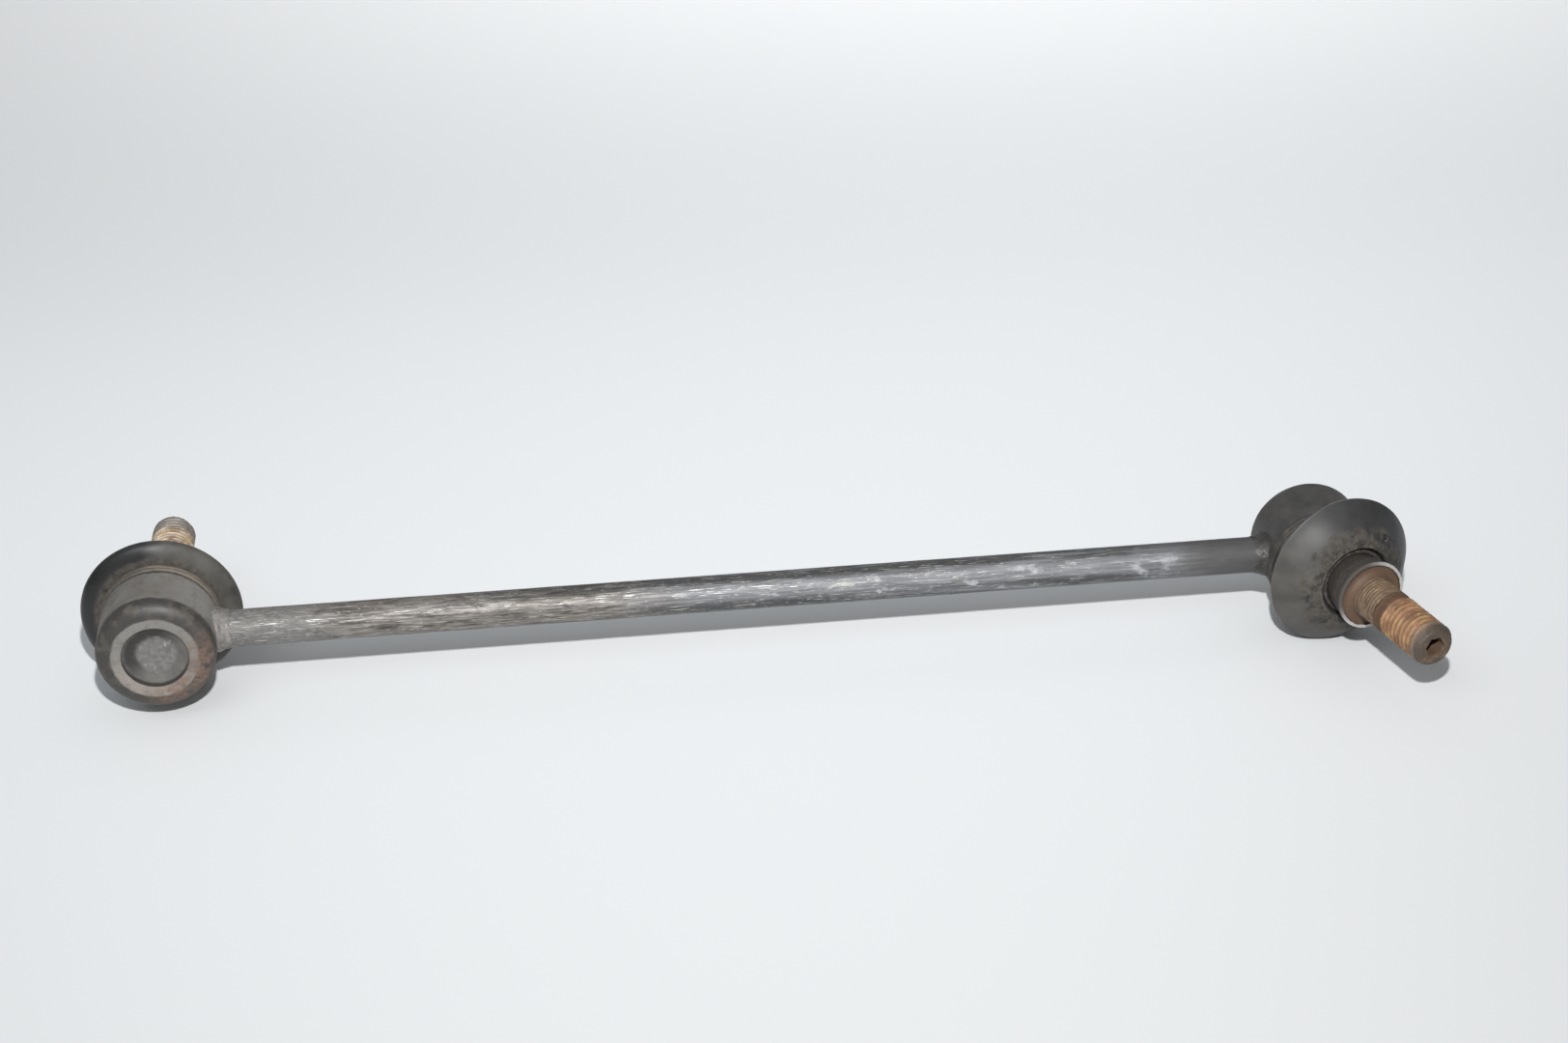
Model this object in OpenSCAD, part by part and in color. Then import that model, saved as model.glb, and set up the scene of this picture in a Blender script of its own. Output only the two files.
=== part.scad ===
// Stabilizer link: a steel rod with a greased, booted ball joint welded to each end.
// Link frame: origin midway between the two ball centres, X along the rod, Z up.
// The left stud points along +Y and the right stud along -Y, swung a little towards +X.
// Each joint is drawn on its own axis first: ball centre at the origin, stud along +Z.

/* [Pose] */
// Angle the left stud is swung towards +X as the link lies
left_swing = 0; // [-15:1:15]
// Angle the right stud is swung towards +X as the link lies
right_swing = 13; // [-15:1:15]

/* [Link] */
// Distance between the two ball centres
centre_distance = 316; // [250:1:380]
// Diameter of the round link rod
rod_d = 10; // [8:0.5:10.2]
// How far the weld bead stands out from the rod where it meets the housing
weld_height = 1; // [0.6:0.1:1.1]
// Length of the weld bead along the rod
weld_length = 3.4; // [2:0.2:6]

/* [Housing] */
// Outer diameter of the housing
housing_d = 31; // [30:0.5:36]
// Distance from the ball centre to the closed back face
housing_back = 13.2; // [13:0.1:16]
// Distance from the ball centre to the shoulder under the boot clamp
housing_shoulder = 6.2; // [6.1:0.1:6.4]
// Axial height of the rounded shoulder round the closed back
back_round_h = 3.3; // [2:0.1:4]
// Radial width of the rounded shoulder round the closed back
back_round_w = 4.3; // [3:0.1:4.8]
// Diameter of the opening inside the rolled lip
lip_opening_d = 17.2; // [16:0.2:18]
// Thickness of the rolled lip
lip_thickness = 1.2; // [0.8:0.1:1.3]
// Diameter of the mouth on the stud side
mouth_d = 23.2; // [22.4:0.2:23.4]
// Height of the end flange that keeps the boot in its groove
end_flange_h = 0.8; // [0.6:0.1:1]
// Depth of the boot groove below the end flange
groove_depth = 0.7; // [0.4:0.1:0.8]

/* [Ball joint] */
// Diameter of the ball
ball_d = 18; // [17:0.5:18.5]
// Radial running clearance between ball and seat
ball_clearance = 0.05; // [0.02:0.01:0.1]
// Wall thickness of the plastic ball seat at its equator
seat_wall = 2; // [1.6:0.1:2.4]
// Height of the seat's rim above the ball centre
seat_rim = 4; // [3:0.1:4.4]
// Diameter of the grease hole in the bottom of the seat
grease_hole_d = 5; // [3:0.5:6]
// Thickness of the closing plate
plate_thickness = 1.4; // [1.2:0.1:1.5]
// Depth of the dish pressed into the closing plate
dish_depth = 1; // [0.6:0.1:1.1]
// Diameter of the flat bottom of the dish
dish_bottom_d = 11.4; // [9:0.2:12]

/* [Ball stud] */
// Diameter of the neck above the ball
neck_d = 9.5; // [8:0.1:10]
// Diameter of the groove where the small end of the boot sits
boot_seat_d = 14.8; // [14:0.1:15.4]
// Diameter of the collar where it leaves the boot
collar_d = 16.6; // [16.2:0.1:17.4]
// Diameter of the flange that bears on the mating bracket
flange_d = 19.6; // [18.6:0.1:20.6]
// Distance from the ball centre to the bearing rim of the flange
flange_face = 28.5; // [27.6:0.1:31]
// Radial width of the bearing rim
rim_width = 0.9; // [0.6:0.1:1.4]
// Depth of the hollow inside the bearing rim
rim_step = 0.8; // [0.4:0.1:1]
// Thread diameter of the shank
thread_d = 12; // [10:1:12]
// Distance from the ball centre to the tip of the stud
stud_tip = 58.8; // [54:0.2:66]
// Length of the threaded part, measured from the tip
thread_length = 16.8; // [14:0.2:20]
// Depth of the run-out groove behind the thread
runout_depth = 0.4; // [0.2:0.1:0.8]
// Radius of the fillet where the shank leaves the flange
root_fillet = 2; // [1:0.1:2.4]
// Width across flats of the hexagon socket in the tip
socket_af = 5; // [4:0.5:6]
// Depth of the hexagon socket
socket_depth = 6; // [4:0.5:8]

/* [Dust boot] */
// Diameter of the boot at its crest
boot_d = 42.4; // [40:0.2:46]
// Distance from the ball centre to the crest of the boot
boot_crest = 12.2; // [12:0.1:12.8]
// Diameter of the lip round the recess at the small end
boot_lip_d = 22.6; // [22:0.2:24]
// Wall thickness of the boot
boot_wall = 1.5; // [1.2:0.1:1.6]
// Clearance between the boot and the parts it sits on
boot_fit = 0.03; // [0.01:0.01:0.08]
// Outer diameter of the boot's bead under the clamp
bead_d = 29; // [28.4:0.1:29.4]
// Diameter of the clamp wire
clamp_wire_d = 1.4; // [1:0.1:1.4]

/* [Neck ring] */
// Diameter of the wire ring that holds the small end of the boot
neck_wire_d = 1.2; // [0.8:0.1:1.3]
// Depth of the recess round the small end of the boot
recess_depth = 2.2; // [2:0.1:2.6]

/* [Hidden] */
$fn = 96;
half_span = centre_distance / 2;
rod_r = rod_d / 2;
housing_r = housing_d / 2;
ball_r = ball_d / 2;
bore_r = ball_r + seat_wall;
plate_outer = lip_thickness - housing_back;
plate_inner = plate_outer + plate_thickness;
dish_outer = plate_outer + dish_depth;
dish_inner = plate_inner + dish_depth;
dish_rim_r = lip_opening_d / 2 - 0.3;
dish_bottom_r = dish_bottom_d / 2;
lip_r = lip_opening_d / 2;
seat_in_r = ball_r + ball_clearance;
seat_top_r = sqrt(bore_r * bore_r - seat_rim * seat_rim);
mouth_r = mouth_d / 2;
throat_r = seat_top_r - 0.8;
groove_low = housing_shoulder + 0.1;
clamp_pitch = clamp_wire_d * 0.96;
bead_low = groove_low + boot_fit;
bead_high = bead_low + clamp_wire_d + clamp_pitch + 0.1;
groove_high = bead_high + boot_fit;
housing_top = groove_high + end_flange_h;
end_flange_r = mouth_r + 1.75;
groove_r = end_flange_r - groove_depth;
bead_r = bead_d / 2;
clamp_r = bead_r + boot_fit + clamp_wire_d / 2;
clamp_z = bead_low + clamp_wire_d / 2 + 0.05;
neck_r = neck_d / 2;
flange_r = flange_d / 2;
collar_r = collar_d / 2;
thread_r = thread_d / 2;
thread_start = stud_tip - thread_length;
runout_r = thread_r - runout_depth;
hollow_r = flange_r - rim_width - 0.2;
root_r = min(root_fillet, hollow_r - thread_r - 0.1);
boot_r = boot_d / 2;
lip_edge_r = boot_lip_d / 2;
dome_r0 = 2.6;
dome_z0 = 1;
dome_radius = norm([boot_r - dome_r0, boot_crest - dome_z0]);
dome_from = atan2(boot_crest - dome_z0, boot_r - dome_r0);
dome_to = acos((lip_edge_r - dome_r0) / dome_radius);
dome_top = dome_z0 + dome_radius * sin(dome_to);
inner_radius = dome_radius - boot_wall;
recess_floor = dome_top - recess_depth;
sleeve_top = dome_top - 0.7;
sleeve_low = recess_floor - boot_wall;
seat_high = sleeve_top + boot_fit;
seat_low = sleeve_low - boot_fit;
boot_seat_r = boot_seat_d / 2;
stop_r = boot_seat_r + 0.5;
neck_top = sleeve_low - 3;
sleeve_in_r = boot_seat_r + boot_fit;
sleeve_r = sleeve_in_r + 0.8;
neck_ring_r = sleeve_r + boot_fit + neck_wire_d / 2;
neck_ring_z = recess_floor + boot_fit + neck_wire_d / 2;
recess_r = sleeve_r + 1.75;
boot_segments = 60;

// Points along an elliptical arc in the radius and height plane
function arc_points(cr, cz, rr, rz, from, to, steps) = [
    for (i = [0:steps])
        let (a = from + (to - from) * i / steps)
            [cr + rr * cos(a), cz + rz * sin(a)]
];

// Turn what is drawn on the stud's axis about the ball centre by the stud's swing
module swung(angle) {
    rotate([0, angle, 0])
        children();
}

// Place one joint drawn on its own axis at the left end of the rod
module at_left() {
    translate([-half_span, 0, 0])
        rotate([-90, 0, 0])
            children();
}

// Place one joint drawn on its own axis at the right end of the rod
module at_right() {
    translate([half_span, 0, 0])
        rotate([90, 0, 0])
            children();
}

// Plain round outside of a housing at one end, for trimming the rod and the weld
module housing_outside(side) {
    translate([side * half_span, 0, 0])
        rotate([90, 0, 0])
            cylinder(r = housing_r, h = 4 * housing_r, center = true);
}

// Round bar, saddled at both ends to sit on the housings
module link_rod() {
    color([0.36, 0.35, 0.34])
        difference() {
            rotate([0, 90, 0])
                cylinder(r = rod_r, h = centre_distance - housing_r, center = true);
            housing_outside(-1);
            housing_outside(1);
        }
}

// Hollow flared fillet round the rod, before its saddle is cut
module weld_bead(side) {
    root_x = housing_r - 2;
    color([0.33, 0.31, 0.29])
        difference() {
            translate([side * half_span, 0, 0])
                rotate([0, -side * 90, 0])
                    rotate_extrude()
                        polygon([
                            [rod_r, root_x],
                            [rod_r + weld_height, root_x],
                            [rod_r + weld_height, housing_r + 0.25],
                            [rod_r + weld_height * 0.72, housing_r + weld_length * 0.22],
                            [rod_r + weld_height * 0.42, housing_r + weld_length * 0.5],
                            [rod_r + weld_height * 0.18, housing_r + weld_length * 0.8],
                            [rod_r, housing_r + weld_length]
                        ]);
            housing_outside(side);
        }
}

// Outline of the housing wall: rolled lip, rounded back, boot groove, mouth, bore
module housing_outline() {
    difference() {
        polygon(concat(
            [[lip_r, plate_outer], [lip_r, -housing_back + 0.3], [lip_r + 0.3, -housing_back]],
            arc_points(housing_r - back_round_w, back_round_h - housing_back,
                       back_round_w, back_round_h, -90, 0, 12),
            [
                [housing_r, housing_shoulder - 0.4],
                [housing_r - 0.4, housing_shoulder],
                [groove_r, groove_low],
                [groove_r, groove_high],
                [end_flange_r, groove_high],
                [end_flange_r, housing_top - 0.3],
                [end_flange_r - 0.3, housing_top],
                [mouth_r, housing_top],
                [throat_r, seat_rim + 0.3],
                [throat_r, seat_rim],
                [0.5, seat_rim],
                [0.5, plate_outer]
            ]
        ));
        difference() {
            union() {
                translate([0, plate_outer])
                    square([bore_r, -plate_outer]);
                circle(r = bore_r);
            }
            translate([-bore_r, seat_rim])
                square([2 * bore_r, bore_r]);
        }
    }
}

module housing() {
    color([0.34, 0.33, 0.32])
        rotate_extrude()
            housing_outline();
}

// Dished disc that closes the back, held under the rolled lip
module closing_plate() {
    color([0.42, 0.40, 0.38])
        rotate_extrude()
            polygon([
                [0, dish_outer],
                [dish_bottom_r - 0.4, dish_outer],
                [dish_bottom_r, dish_outer - 0.1],
                [dish_rim_r - 0.5, plate_outer + 0.25],
                [dish_rim_r, plate_outer],
                [bore_r, plate_outer],
                [bore_r, plate_inner],
                [dish_rim_r - plate_thickness * 0.5, plate_inner],
                [dish_bottom_r - plate_thickness * 0.5, dish_inner],
                [0, dish_inner]
            ]);
}

// Plastic liner: cylindrical skirt below, spherical rim above, bored to the ball
module ball_seat() {
    color([0.86, 0.84, 0.78])
        rotate_extrude()
            difference() {
                intersection() {
                    union() {
                        translate([0, plate_inner])
                            square([bore_r, -plate_inner]);
                        circle(r = bore_r);
                    }
                    translate([0, plate_inner])
                        square([bore_r, seat_rim - plate_inner]);
                }
                circle(r = seat_in_r);
                translate([-1, plate_inner - 1])
                    square([grease_hole_d / 2 + 1, bore_r]);
                polygon([
                    [-1, plate_inner - 1],
                    [dish_rim_r - plate_thickness * 0.5, plate_inner - 1],
                    [dish_rim_r - plate_thickness * 0.5, plate_inner],
                    [dish_bottom_r - plate_thickness * 0.5, dish_inner],
                    [-1, dish_inner]
                ]);
            }
}

// Two turns of wire that clamp the boot's bead into the housing groove
module boot_clamp() {
    color([0.42, 0.33, 0.26])
        rotate_extrude()
            union() {
                translate([clamp_r, clamp_z])
                    circle(d = clamp_wire_d);
                translate([clamp_r, clamp_z + clamp_pitch])
                    circle(d = clamp_wire_d);
            }
}

// Outline of the boot wall: bead, flared back, crest, dome, recess and inner sleeve
boot_outline = concat(
    [
        [groove_r + boot_fit, bead_low],
        [bead_r, bead_low],
        [bead_r, bead_high]
    ],
    arc_points(bead_r + 0.7, boot_crest, boot_r - bead_r - 0.7,
               boot_crest - bead_high, -90, -6, 9),
    arc_points(dome_r0, dome_z0, dome_radius, dome_radius, dome_from, dome_to, 14),
    [
        [recess_r + 0.35, dome_top - 0.2],
        [recess_r + 0.1, dome_top - 0.6],
        [recess_r, recess_floor + 0.3],
        [recess_r - 0.2, recess_floor],
        [sleeve_r, recess_floor],
        [sleeve_r, sleeve_top],
        [sleeve_in_r, sleeve_top],
        [sleeve_in_r, sleeve_low],
        [sleeve_in_r + 1.1, sleeve_low]
    ],
    arc_points(dome_r0, dome_z0, inner_radius, inner_radius, dome_to - 2, dome_from + 2, 12),
    [
        [boot_r - 2.2, boot_crest - 0.2],
        [bead_r + 3, housing_top + boot_fit + 1.3],
        [bead_r + 0.7, housing_top + boot_fit + 0.8],
        [end_flange_r + 0.4, housing_top + boot_fit + 0.5],
        [end_flange_r + boot_fit, housing_top + boot_fit],
        [end_flange_r + boot_fit, bead_high],
        [groove_r + boot_fit, bead_high]
    ]
);

// Share of the stud's swing that a point of the boot follows:
// none at the clamped bead, rising over the flared back, all of it from the crest on
function swing_share(p) =
    let (t = max(0, min(1, (p[0] - bead_r - 0.5) / (boot_r - 2 - bead_r))))
        p[1] > dome_z0 + 11.4 && p[0] < bead_r + 4.5 || p[1] > boot_crest ? 1
            : t * t * (3 - 2 * t);

// One point of the boot's outline turned round the axis, then leaned with the stud
function boot_point(p, turn, swing) =
    let (a = swing * swing_share(p), x = p[0] * cos(turn))
        [x * cos(a) + p[1] * sin(a), p[0] * sin(turn), p[1] * cos(a) - x * sin(a)];

// Rubber boot: a plain revolve when the stud is straight, else a loft round the axis
module dust_boot(swing) {
    n = len(boot_outline);
    color([0.12, 0.12, 0.13])
        if (swing == 0)
            rotate_extrude()
                polygon(boot_outline);
        else
            polyhedron(
                points = [
                    for (i = [0:boot_segments - 1], p = boot_outline)
                        boot_point(p, 360 * i / boot_segments, swing)
                ],
                faces = [
                    for (i = [0:boot_segments - 1], k = [0:n - 1], half = [0, 1])
                        let (
                            j = (i + 1) % boot_segments,
                            l = (k + 1) % n,
                            a = i * n + k,
                            b = i * n + l,
                            c = j * n + l,
                            d = j * n + k
                        )
                            half == 0 ? [a, b, c] : [a, c, d]
                ]
            );
}

// Wire ring that presses the boot's inner sleeve into the groove of the stud
module neck_ring() {
    color([0.55, 0.54, 0.52])
        rotate_extrude()
            translate([neck_ring_r, neck_ring_z])
                circle(d = neck_wire_d);
}

// Forged stud: ball, neck, boot groove, collar, hollow-faced flange and shank.
// The tip has a hexagon socket to hold the stud still while its nut is turned.
module ball_stud() {
    hollow = flange_face - rim_step;
    color([0.50, 0.36, 0.24])
        difference() {
            rotate_extrude()
                union() {
                    intersection() {
                        circle(r = ball_r);
                        translate([0, -ball_r + 0.5])
                            square([ball_r, 2 * ball_r]);
                    }
                    polygon(concat([
                        [0, 0],
                        [neck_r * 0.5, 0],
                        [neck_r, ball_r * 0.6],
                        [neck_r, neck_top],
                        [neck_r + 0.5, neck_top + 0.9],
                        [stop_r, neck_top + 2.4],
                        [stop_r, seat_low - 0.2],
                        [boot_seat_r, seat_low],
                        [boot_seat_r, seat_high],
                        [collar_r, seat_high],
                        [collar_r + 0.1, seat_high + 1],
                        [flange_r - 0.5, flange_face - 2.4],
                        [flange_r, flange_face - 1.1],
                        [flange_r, flange_face - 0.2],
                        [flange_r - 0.2, flange_face],
                        [flange_r - rim_width, flange_face],
                        [hollow_r, hollow]
                    ],
                    arc_points(thread_r + root_r, hollow + root_r, root_r, root_r, 270, 180, 8),
                    [
                        [thread_r, thread_start - 3.2],
                        [runout_r, thread_start - 2.6],
                        [runout_r, thread_start - 0.6],
                        [thread_r, thread_start],
                        [thread_r, stud_tip - 1.3],
                        [thread_r - 1.3, stud_tip],
                        [0, stud_tip]
                    ]));
                }
            translate([0, 0, stud_tip - socket_depth])
                linear_extrude(socket_depth + 1)
                    circle(d = socket_af / cos(30), $fn = 6);
        }
}

link_rod();
weld_bead(-1);  // left_weld_bead
weld_bead(1);  // right_weld_bead
at_left() housing();  // left_housing
at_right() housing();  // right_housing
at_left() closing_plate();  // left_closing_plate
at_right() closing_plate();  // right_closing_plate
at_left() ball_seat();  // left_ball_seat
at_right() ball_seat();  // right_ball_seat
at_left() boot_clamp();  // left_boot_clamp
at_right() boot_clamp();  // right_boot_clamp
at_left() dust_boot(left_swing);  // left_dust_boot
at_right() dust_boot(right_swing);  // right_dust_boot
at_left() swung(left_swing) neck_ring();  // left_neck_ring
at_right() swung(right_swing) neck_ring();  // right_neck_ring
at_left() swung(left_swing) ball_stud();  // left_ball_stud
at_right() swung(right_swing) ball_stud();  // right_ball_stud
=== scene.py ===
"""Looks of a stabilizer link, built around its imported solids.

Sizes are millimetres on the part's own axes and become metres where a mesh is made.
Each ball joint is drawn on its own axis first: ball centre at the origin, stud along +Z.
"""
import logging
import math
from dataclasses import dataclass, field
from enum import Enum
from typing import Callable, Optional, Sequence, Union

import bmesh
import bpy
import numpy as np
from mathutils import Matrix, Vector, noise


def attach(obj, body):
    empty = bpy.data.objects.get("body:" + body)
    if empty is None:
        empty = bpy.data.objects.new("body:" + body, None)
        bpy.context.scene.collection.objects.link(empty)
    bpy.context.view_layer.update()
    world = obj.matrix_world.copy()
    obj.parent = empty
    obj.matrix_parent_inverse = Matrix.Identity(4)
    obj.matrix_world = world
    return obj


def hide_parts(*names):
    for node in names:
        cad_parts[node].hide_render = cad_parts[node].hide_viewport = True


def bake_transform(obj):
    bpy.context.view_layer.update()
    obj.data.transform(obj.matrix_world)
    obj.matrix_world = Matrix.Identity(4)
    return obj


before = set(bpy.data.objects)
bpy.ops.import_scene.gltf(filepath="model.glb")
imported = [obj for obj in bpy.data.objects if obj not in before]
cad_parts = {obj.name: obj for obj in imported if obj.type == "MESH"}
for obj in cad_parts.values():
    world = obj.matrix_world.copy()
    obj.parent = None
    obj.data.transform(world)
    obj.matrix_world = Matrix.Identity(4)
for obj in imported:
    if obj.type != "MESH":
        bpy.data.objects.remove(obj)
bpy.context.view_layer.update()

LOG = logging.getLogger("stabilizer_link")
MM = 0.001
HALF_SPAN = 158.0
HOUSING_RADIUS = 15.5
FLOOR_Z = -21.35
SHARP_ANGLE = 50.0
ON_AXIS = 1e-6

RGB = tuple[float, float, float]
Vec = tuple[float, float, float]
Profile = list[tuple[float, float]]
Points = tuple[tuple[float, float], ...]


class End(Enum):
    """The two ends of the link."""

    LEFT = "left"
    RIGHT = "right"


class Along(Enum):
    """A coordinate of a turned piece that a band can run along."""

    RADIUS = 0
    TURN = 1
    AXIS = 2


# Placing of turned pieces


@dataclass(frozen=True)
class Place:
    """Turns points on a piece's own axis into points of the link, in metres."""

    def world(self, points: np.ndarray) -> np.ndarray:
        """Points of the rod: its own axis lies along X.

        Args:
            points: points on the piece's own axis, in millimetres.

        Returns:
            The same points in the link's frame, in metres.
        """
        return points[:, [2, 0, 1]] * MM


@dataclass(frozen=True)
class EndPlace(Place):
    """Places a ball joint at one end of the rod, its stud swung towards +X."""

    end: End
    swing: float = 0.0

    def lean(self, points: np.ndarray, share: Union[float, np.ndarray]) -> np.ndarray:
        """Swings points about the ball centre.

        Args:
            points: points on the joint's own axis, in millimetres.
            share: part of the stud's swing that each point follows.

        Returns:
            The swung points, in millimetres.
        """
        angle = np.radians(self.swing) * np.broadcast_to(share, len(points))
        out = points.copy()
        out[:, 0] = points[:, 0] * np.cos(angle) + points[:, 2] * np.sin(angle)
        out[:, 2] = points[:, 2] * np.cos(angle) - points[:, 0] * np.sin(angle)
        return out

    def world(self, points: np.ndarray) -> np.ndarray:
        """Points of a joint in the link's frame, in metres.

        Args:
            points: points on the joint's own axis, in millimetres.

        Returns:
            The same points in the link's frame, in metres.
        """
        x, y, z = points[:, 0], points[:, 1], points[:, 2]
        if self.end is End.LEFT:
            return np.stack([x - HALF_SPAN, z, -y], 1) * MM
        return np.stack([x + HALF_SPAN, -z, y], 1) * MM

    def axis_point(self, height: float) -> Vec:
        """A point on the stud's axis, in the link's frame, in metres."""
        p = self.lean(np.array([[0.0, 0.0, height]]), 1.0)
        return tuple(float(v) for v in self.world(p)[0])


# Meshes


def uneven(points: np.ndarray, scale: float, octaves: int = 3) -> np.ndarray:
    """Smooth random heights at points.

    Args:
        points: places to read, in millimetres.
        scale: cycles per millimetre.
        octaves: layers of finer detail.

    Returns:
        One value per point, about -1 to 1.
    """
    return np.array([noise.fractal(Vector(p) * scale, 0.7, 2.0, octaves) for p in points])


def fillet(points: Profile, radius: float, steps: int = 3) -> Profile:
    """Rounds the inner corners of an open outline.

    Args:
        points: the outline's corners.
        radius: how far each rounding reaches from its corner.
        steps: points per rounding.

    Returns:
        The rounded outline.
    """
    out = [points[0]]
    for before, corner, after in zip(points, points[1:], points[2:]):
        c = np.array(corner)
        a, b = np.array(before) - c, np.array(after) - c
        reach = min(radius, 0.45 * np.linalg.norm(a), 0.45 * np.linalg.norm(b))
        p, q = c + a / np.linalg.norm(a) * reach, c + b / np.linalg.norm(b) * reach
        for i in range(steps + 1):
            t = i / steps
            out.append(tuple(p * (1 - t) ** 2 + 2 * c * t * (1 - t) + q * t ** 2))
    return out + [points[-1]]


def refine(points: Profile, step: float) -> Profile:
    """Splits the long runs of an outline so that no run is longer than step.

    Args:
        points: the outline's corners.
        step: the longest run, in millimetres.

    Returns:
        The outline with more points.
    """
    out = [points[0]]
    for a, b in zip(points, points[1:]):
        count = max(1, math.ceil(math.dist(a, b) / step))
        out += [tuple(np.array(a) + (np.array(b) - np.array(a)) * i / count) for i in range(1, count + 1)]
    return out


def arc(centre: tuple[float, float], radii: tuple[float, float], start: float, end: float,
        steps: int) -> Profile:
    """Points along an elliptical arc in the plane of radius and height.

    Args:
        centre: the arc's centre.
        radii: its reach in radius and in height.
        start: first angle, in degrees.
        end: last angle, in degrees.
        steps: runs along the arc.

    Returns:
        The arc's points, in order.
    """
    angles = [math.radians(start + (end - start) * i / steps) for i in range(steps + 1)]
    return [(centre[0] + radii[0] * math.cos(a), centre[1] + radii[1] * math.sin(a)) for a in angles]


def smooth_step(value: np.ndarray, low: float, high: float) -> np.ndarray:
    """Rises softly from 0 at low to 1 at high."""
    t = np.clip((value - low) / (high - low), 0, 1)
    return t * t * (3 - 2 * t)


def from_axis(points: np.ndarray) -> np.ndarray:
    """Distance of points from the piece's own axis."""
    return np.hypot(points[:, 0], points[:, 1])


@dataclass
class Turned:
    """A mesh of rings round one axis, with each point's rest place kept for the finishes."""

    name: str
    place: Place
    segments: int = 96
    closed: bool = False
    rings: list[np.ndarray] = field(default_factory=list)

    def spin(self, profile: Profile) -> "Turned":
        """Adds one round ring for each point of an outline.

        Args:
            profile: radius and height of each ring.

        Returns:
            The piece itself.
        """
        for r, z in profile:
            self.ring(r, z)
        return self

    def turns(self) -> np.ndarray:
        """Angles of a ring's points, in radians."""
        return np.arange(self.segments) * 2 * math.pi / self.segments

    def ring(self, radius: Union[float, np.ndarray], height: float) -> None:
        """Adds one ring whose radius may change round the axis.

        Args:
            radius: one radius for the whole ring, or one per point.
            height: the ring's height.
        """
        a = self.turns()
        z = np.full(self.segments, height)
        self.rings.append(np.stack([radius * np.cos(a), radius * np.sin(a), z], 1))

    def roughen(self, amount: Callable[[np.ndarray], np.ndarray]) -> "Turned":
        """Moves points outwards from the axis.

        Args:
            amount: gives the move of each point, in millimetres, from its place.

        Returns:
            The piece itself.
        """
        for i, points in enumerate(self.rings):
            r = from_axis(points)
            grow = np.where(r > 0.05, 1 + amount(points) / np.maximum(r, 0.05), 1)
            self.rings[i] = np.stack([points[:, 0] * grow, points[:, 1] * grow, points[:, 2]], 1)
        return self

    def lift(self, amount: Callable[[np.ndarray], np.ndarray]) -> "Turned":
        """Moves points along the axis by what `amount` gives for each, in millimetres.

        Args:
            amount: gives the move of each point, in millimetres, from its place.

        Returns:
            The piece itself.
        """
        for points in self.rings:
            points[:, 2] += amount(points)
        return self

    def build(self, share: Optional[Callable[[np.ndarray], np.ndarray]] = None) -> bpy.types.Object:
        """Makes the mesh object.

        Args:
            share: for a swung joint, the part of the swing that each point follows.

        Returns:
            The new object, in the link's frame.
        """
        points: list[np.ndarray] = []
        index: list[list[int]] = []
        count = 0
        for ring in self.rings:
            if not self.closed and from_axis(ring).max() < ON_AXIS:
                points.append(ring[:1])
                index.append([count] * self.segments)
                count += 1
            else:
                points.append(ring)
                index.append(list(range(count, count + self.segments)))
                count += self.segments
        faces = []
        pairs = list(zip(index, index[1:])) + ([(index[-1], index[0])] if self.closed else [])
        for low, high in pairs:
            for j in range(self.segments):
                k = (j + 1) % self.segments
                face = [low[j], low[k], high[k], high[j]]
                faces.append([v for i, v in enumerate(face) if v not in face[:i]])
        rest = np.concatenate(points)
        moved = rest
        if isinstance(self.place, EndPlace) and self.place.swing:
            moved = self.place.lean(rest, 1.0 if share is None else share(rest))
        return make_object(self.name, self.place.world(moved), faces, rest)


def make_object(name: str, points: np.ndarray, faces: list, rest: np.ndarray) -> bpy.types.Object:
    """Makes a smooth mesh object that remembers where its points sit on the piece's own axis.

    Args:
        name: the piece's name.
        points: its points in the link's frame, in metres.
        faces: point numbers of each face.
        rest: the same points on the piece's own axis, in millimetres.

    Returns:
        The new object.
    """
    mesh = bpy.data.meshes.new(name)
    mesh.from_pydata(points.tolist(), [], faces)
    turn = np.arctan2(rest[:, 1], rest[:, 0]) / (2 * math.pi)
    spot = np.stack([from_axis(rest), turn, rest[:, 2]], 1)
    for label, values in (("place", rest), ("spot", spot)):
        attribute = mesh.attributes.new(label, "FLOAT_VECTOR", "POINT")
        attribute.data.foreach_set("vector", values.astype(np.float32).ravel())
    shaped = bmesh.new()
    shaped.from_mesh(mesh)
    bmesh.ops.recalc_face_normals(shaped, faces=shaped.faces)
    shaped.to_mesh(mesh)
    shaped.free()
    mesh.shade_smooth()
    mesh.set_sharp_from_angle(angle=math.radians(SHARP_ANGLE))
    obj = bpy.data.objects.new(name, mesh)
    bpy.context.scene.collection.objects.link(obj)
    return obj


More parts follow.
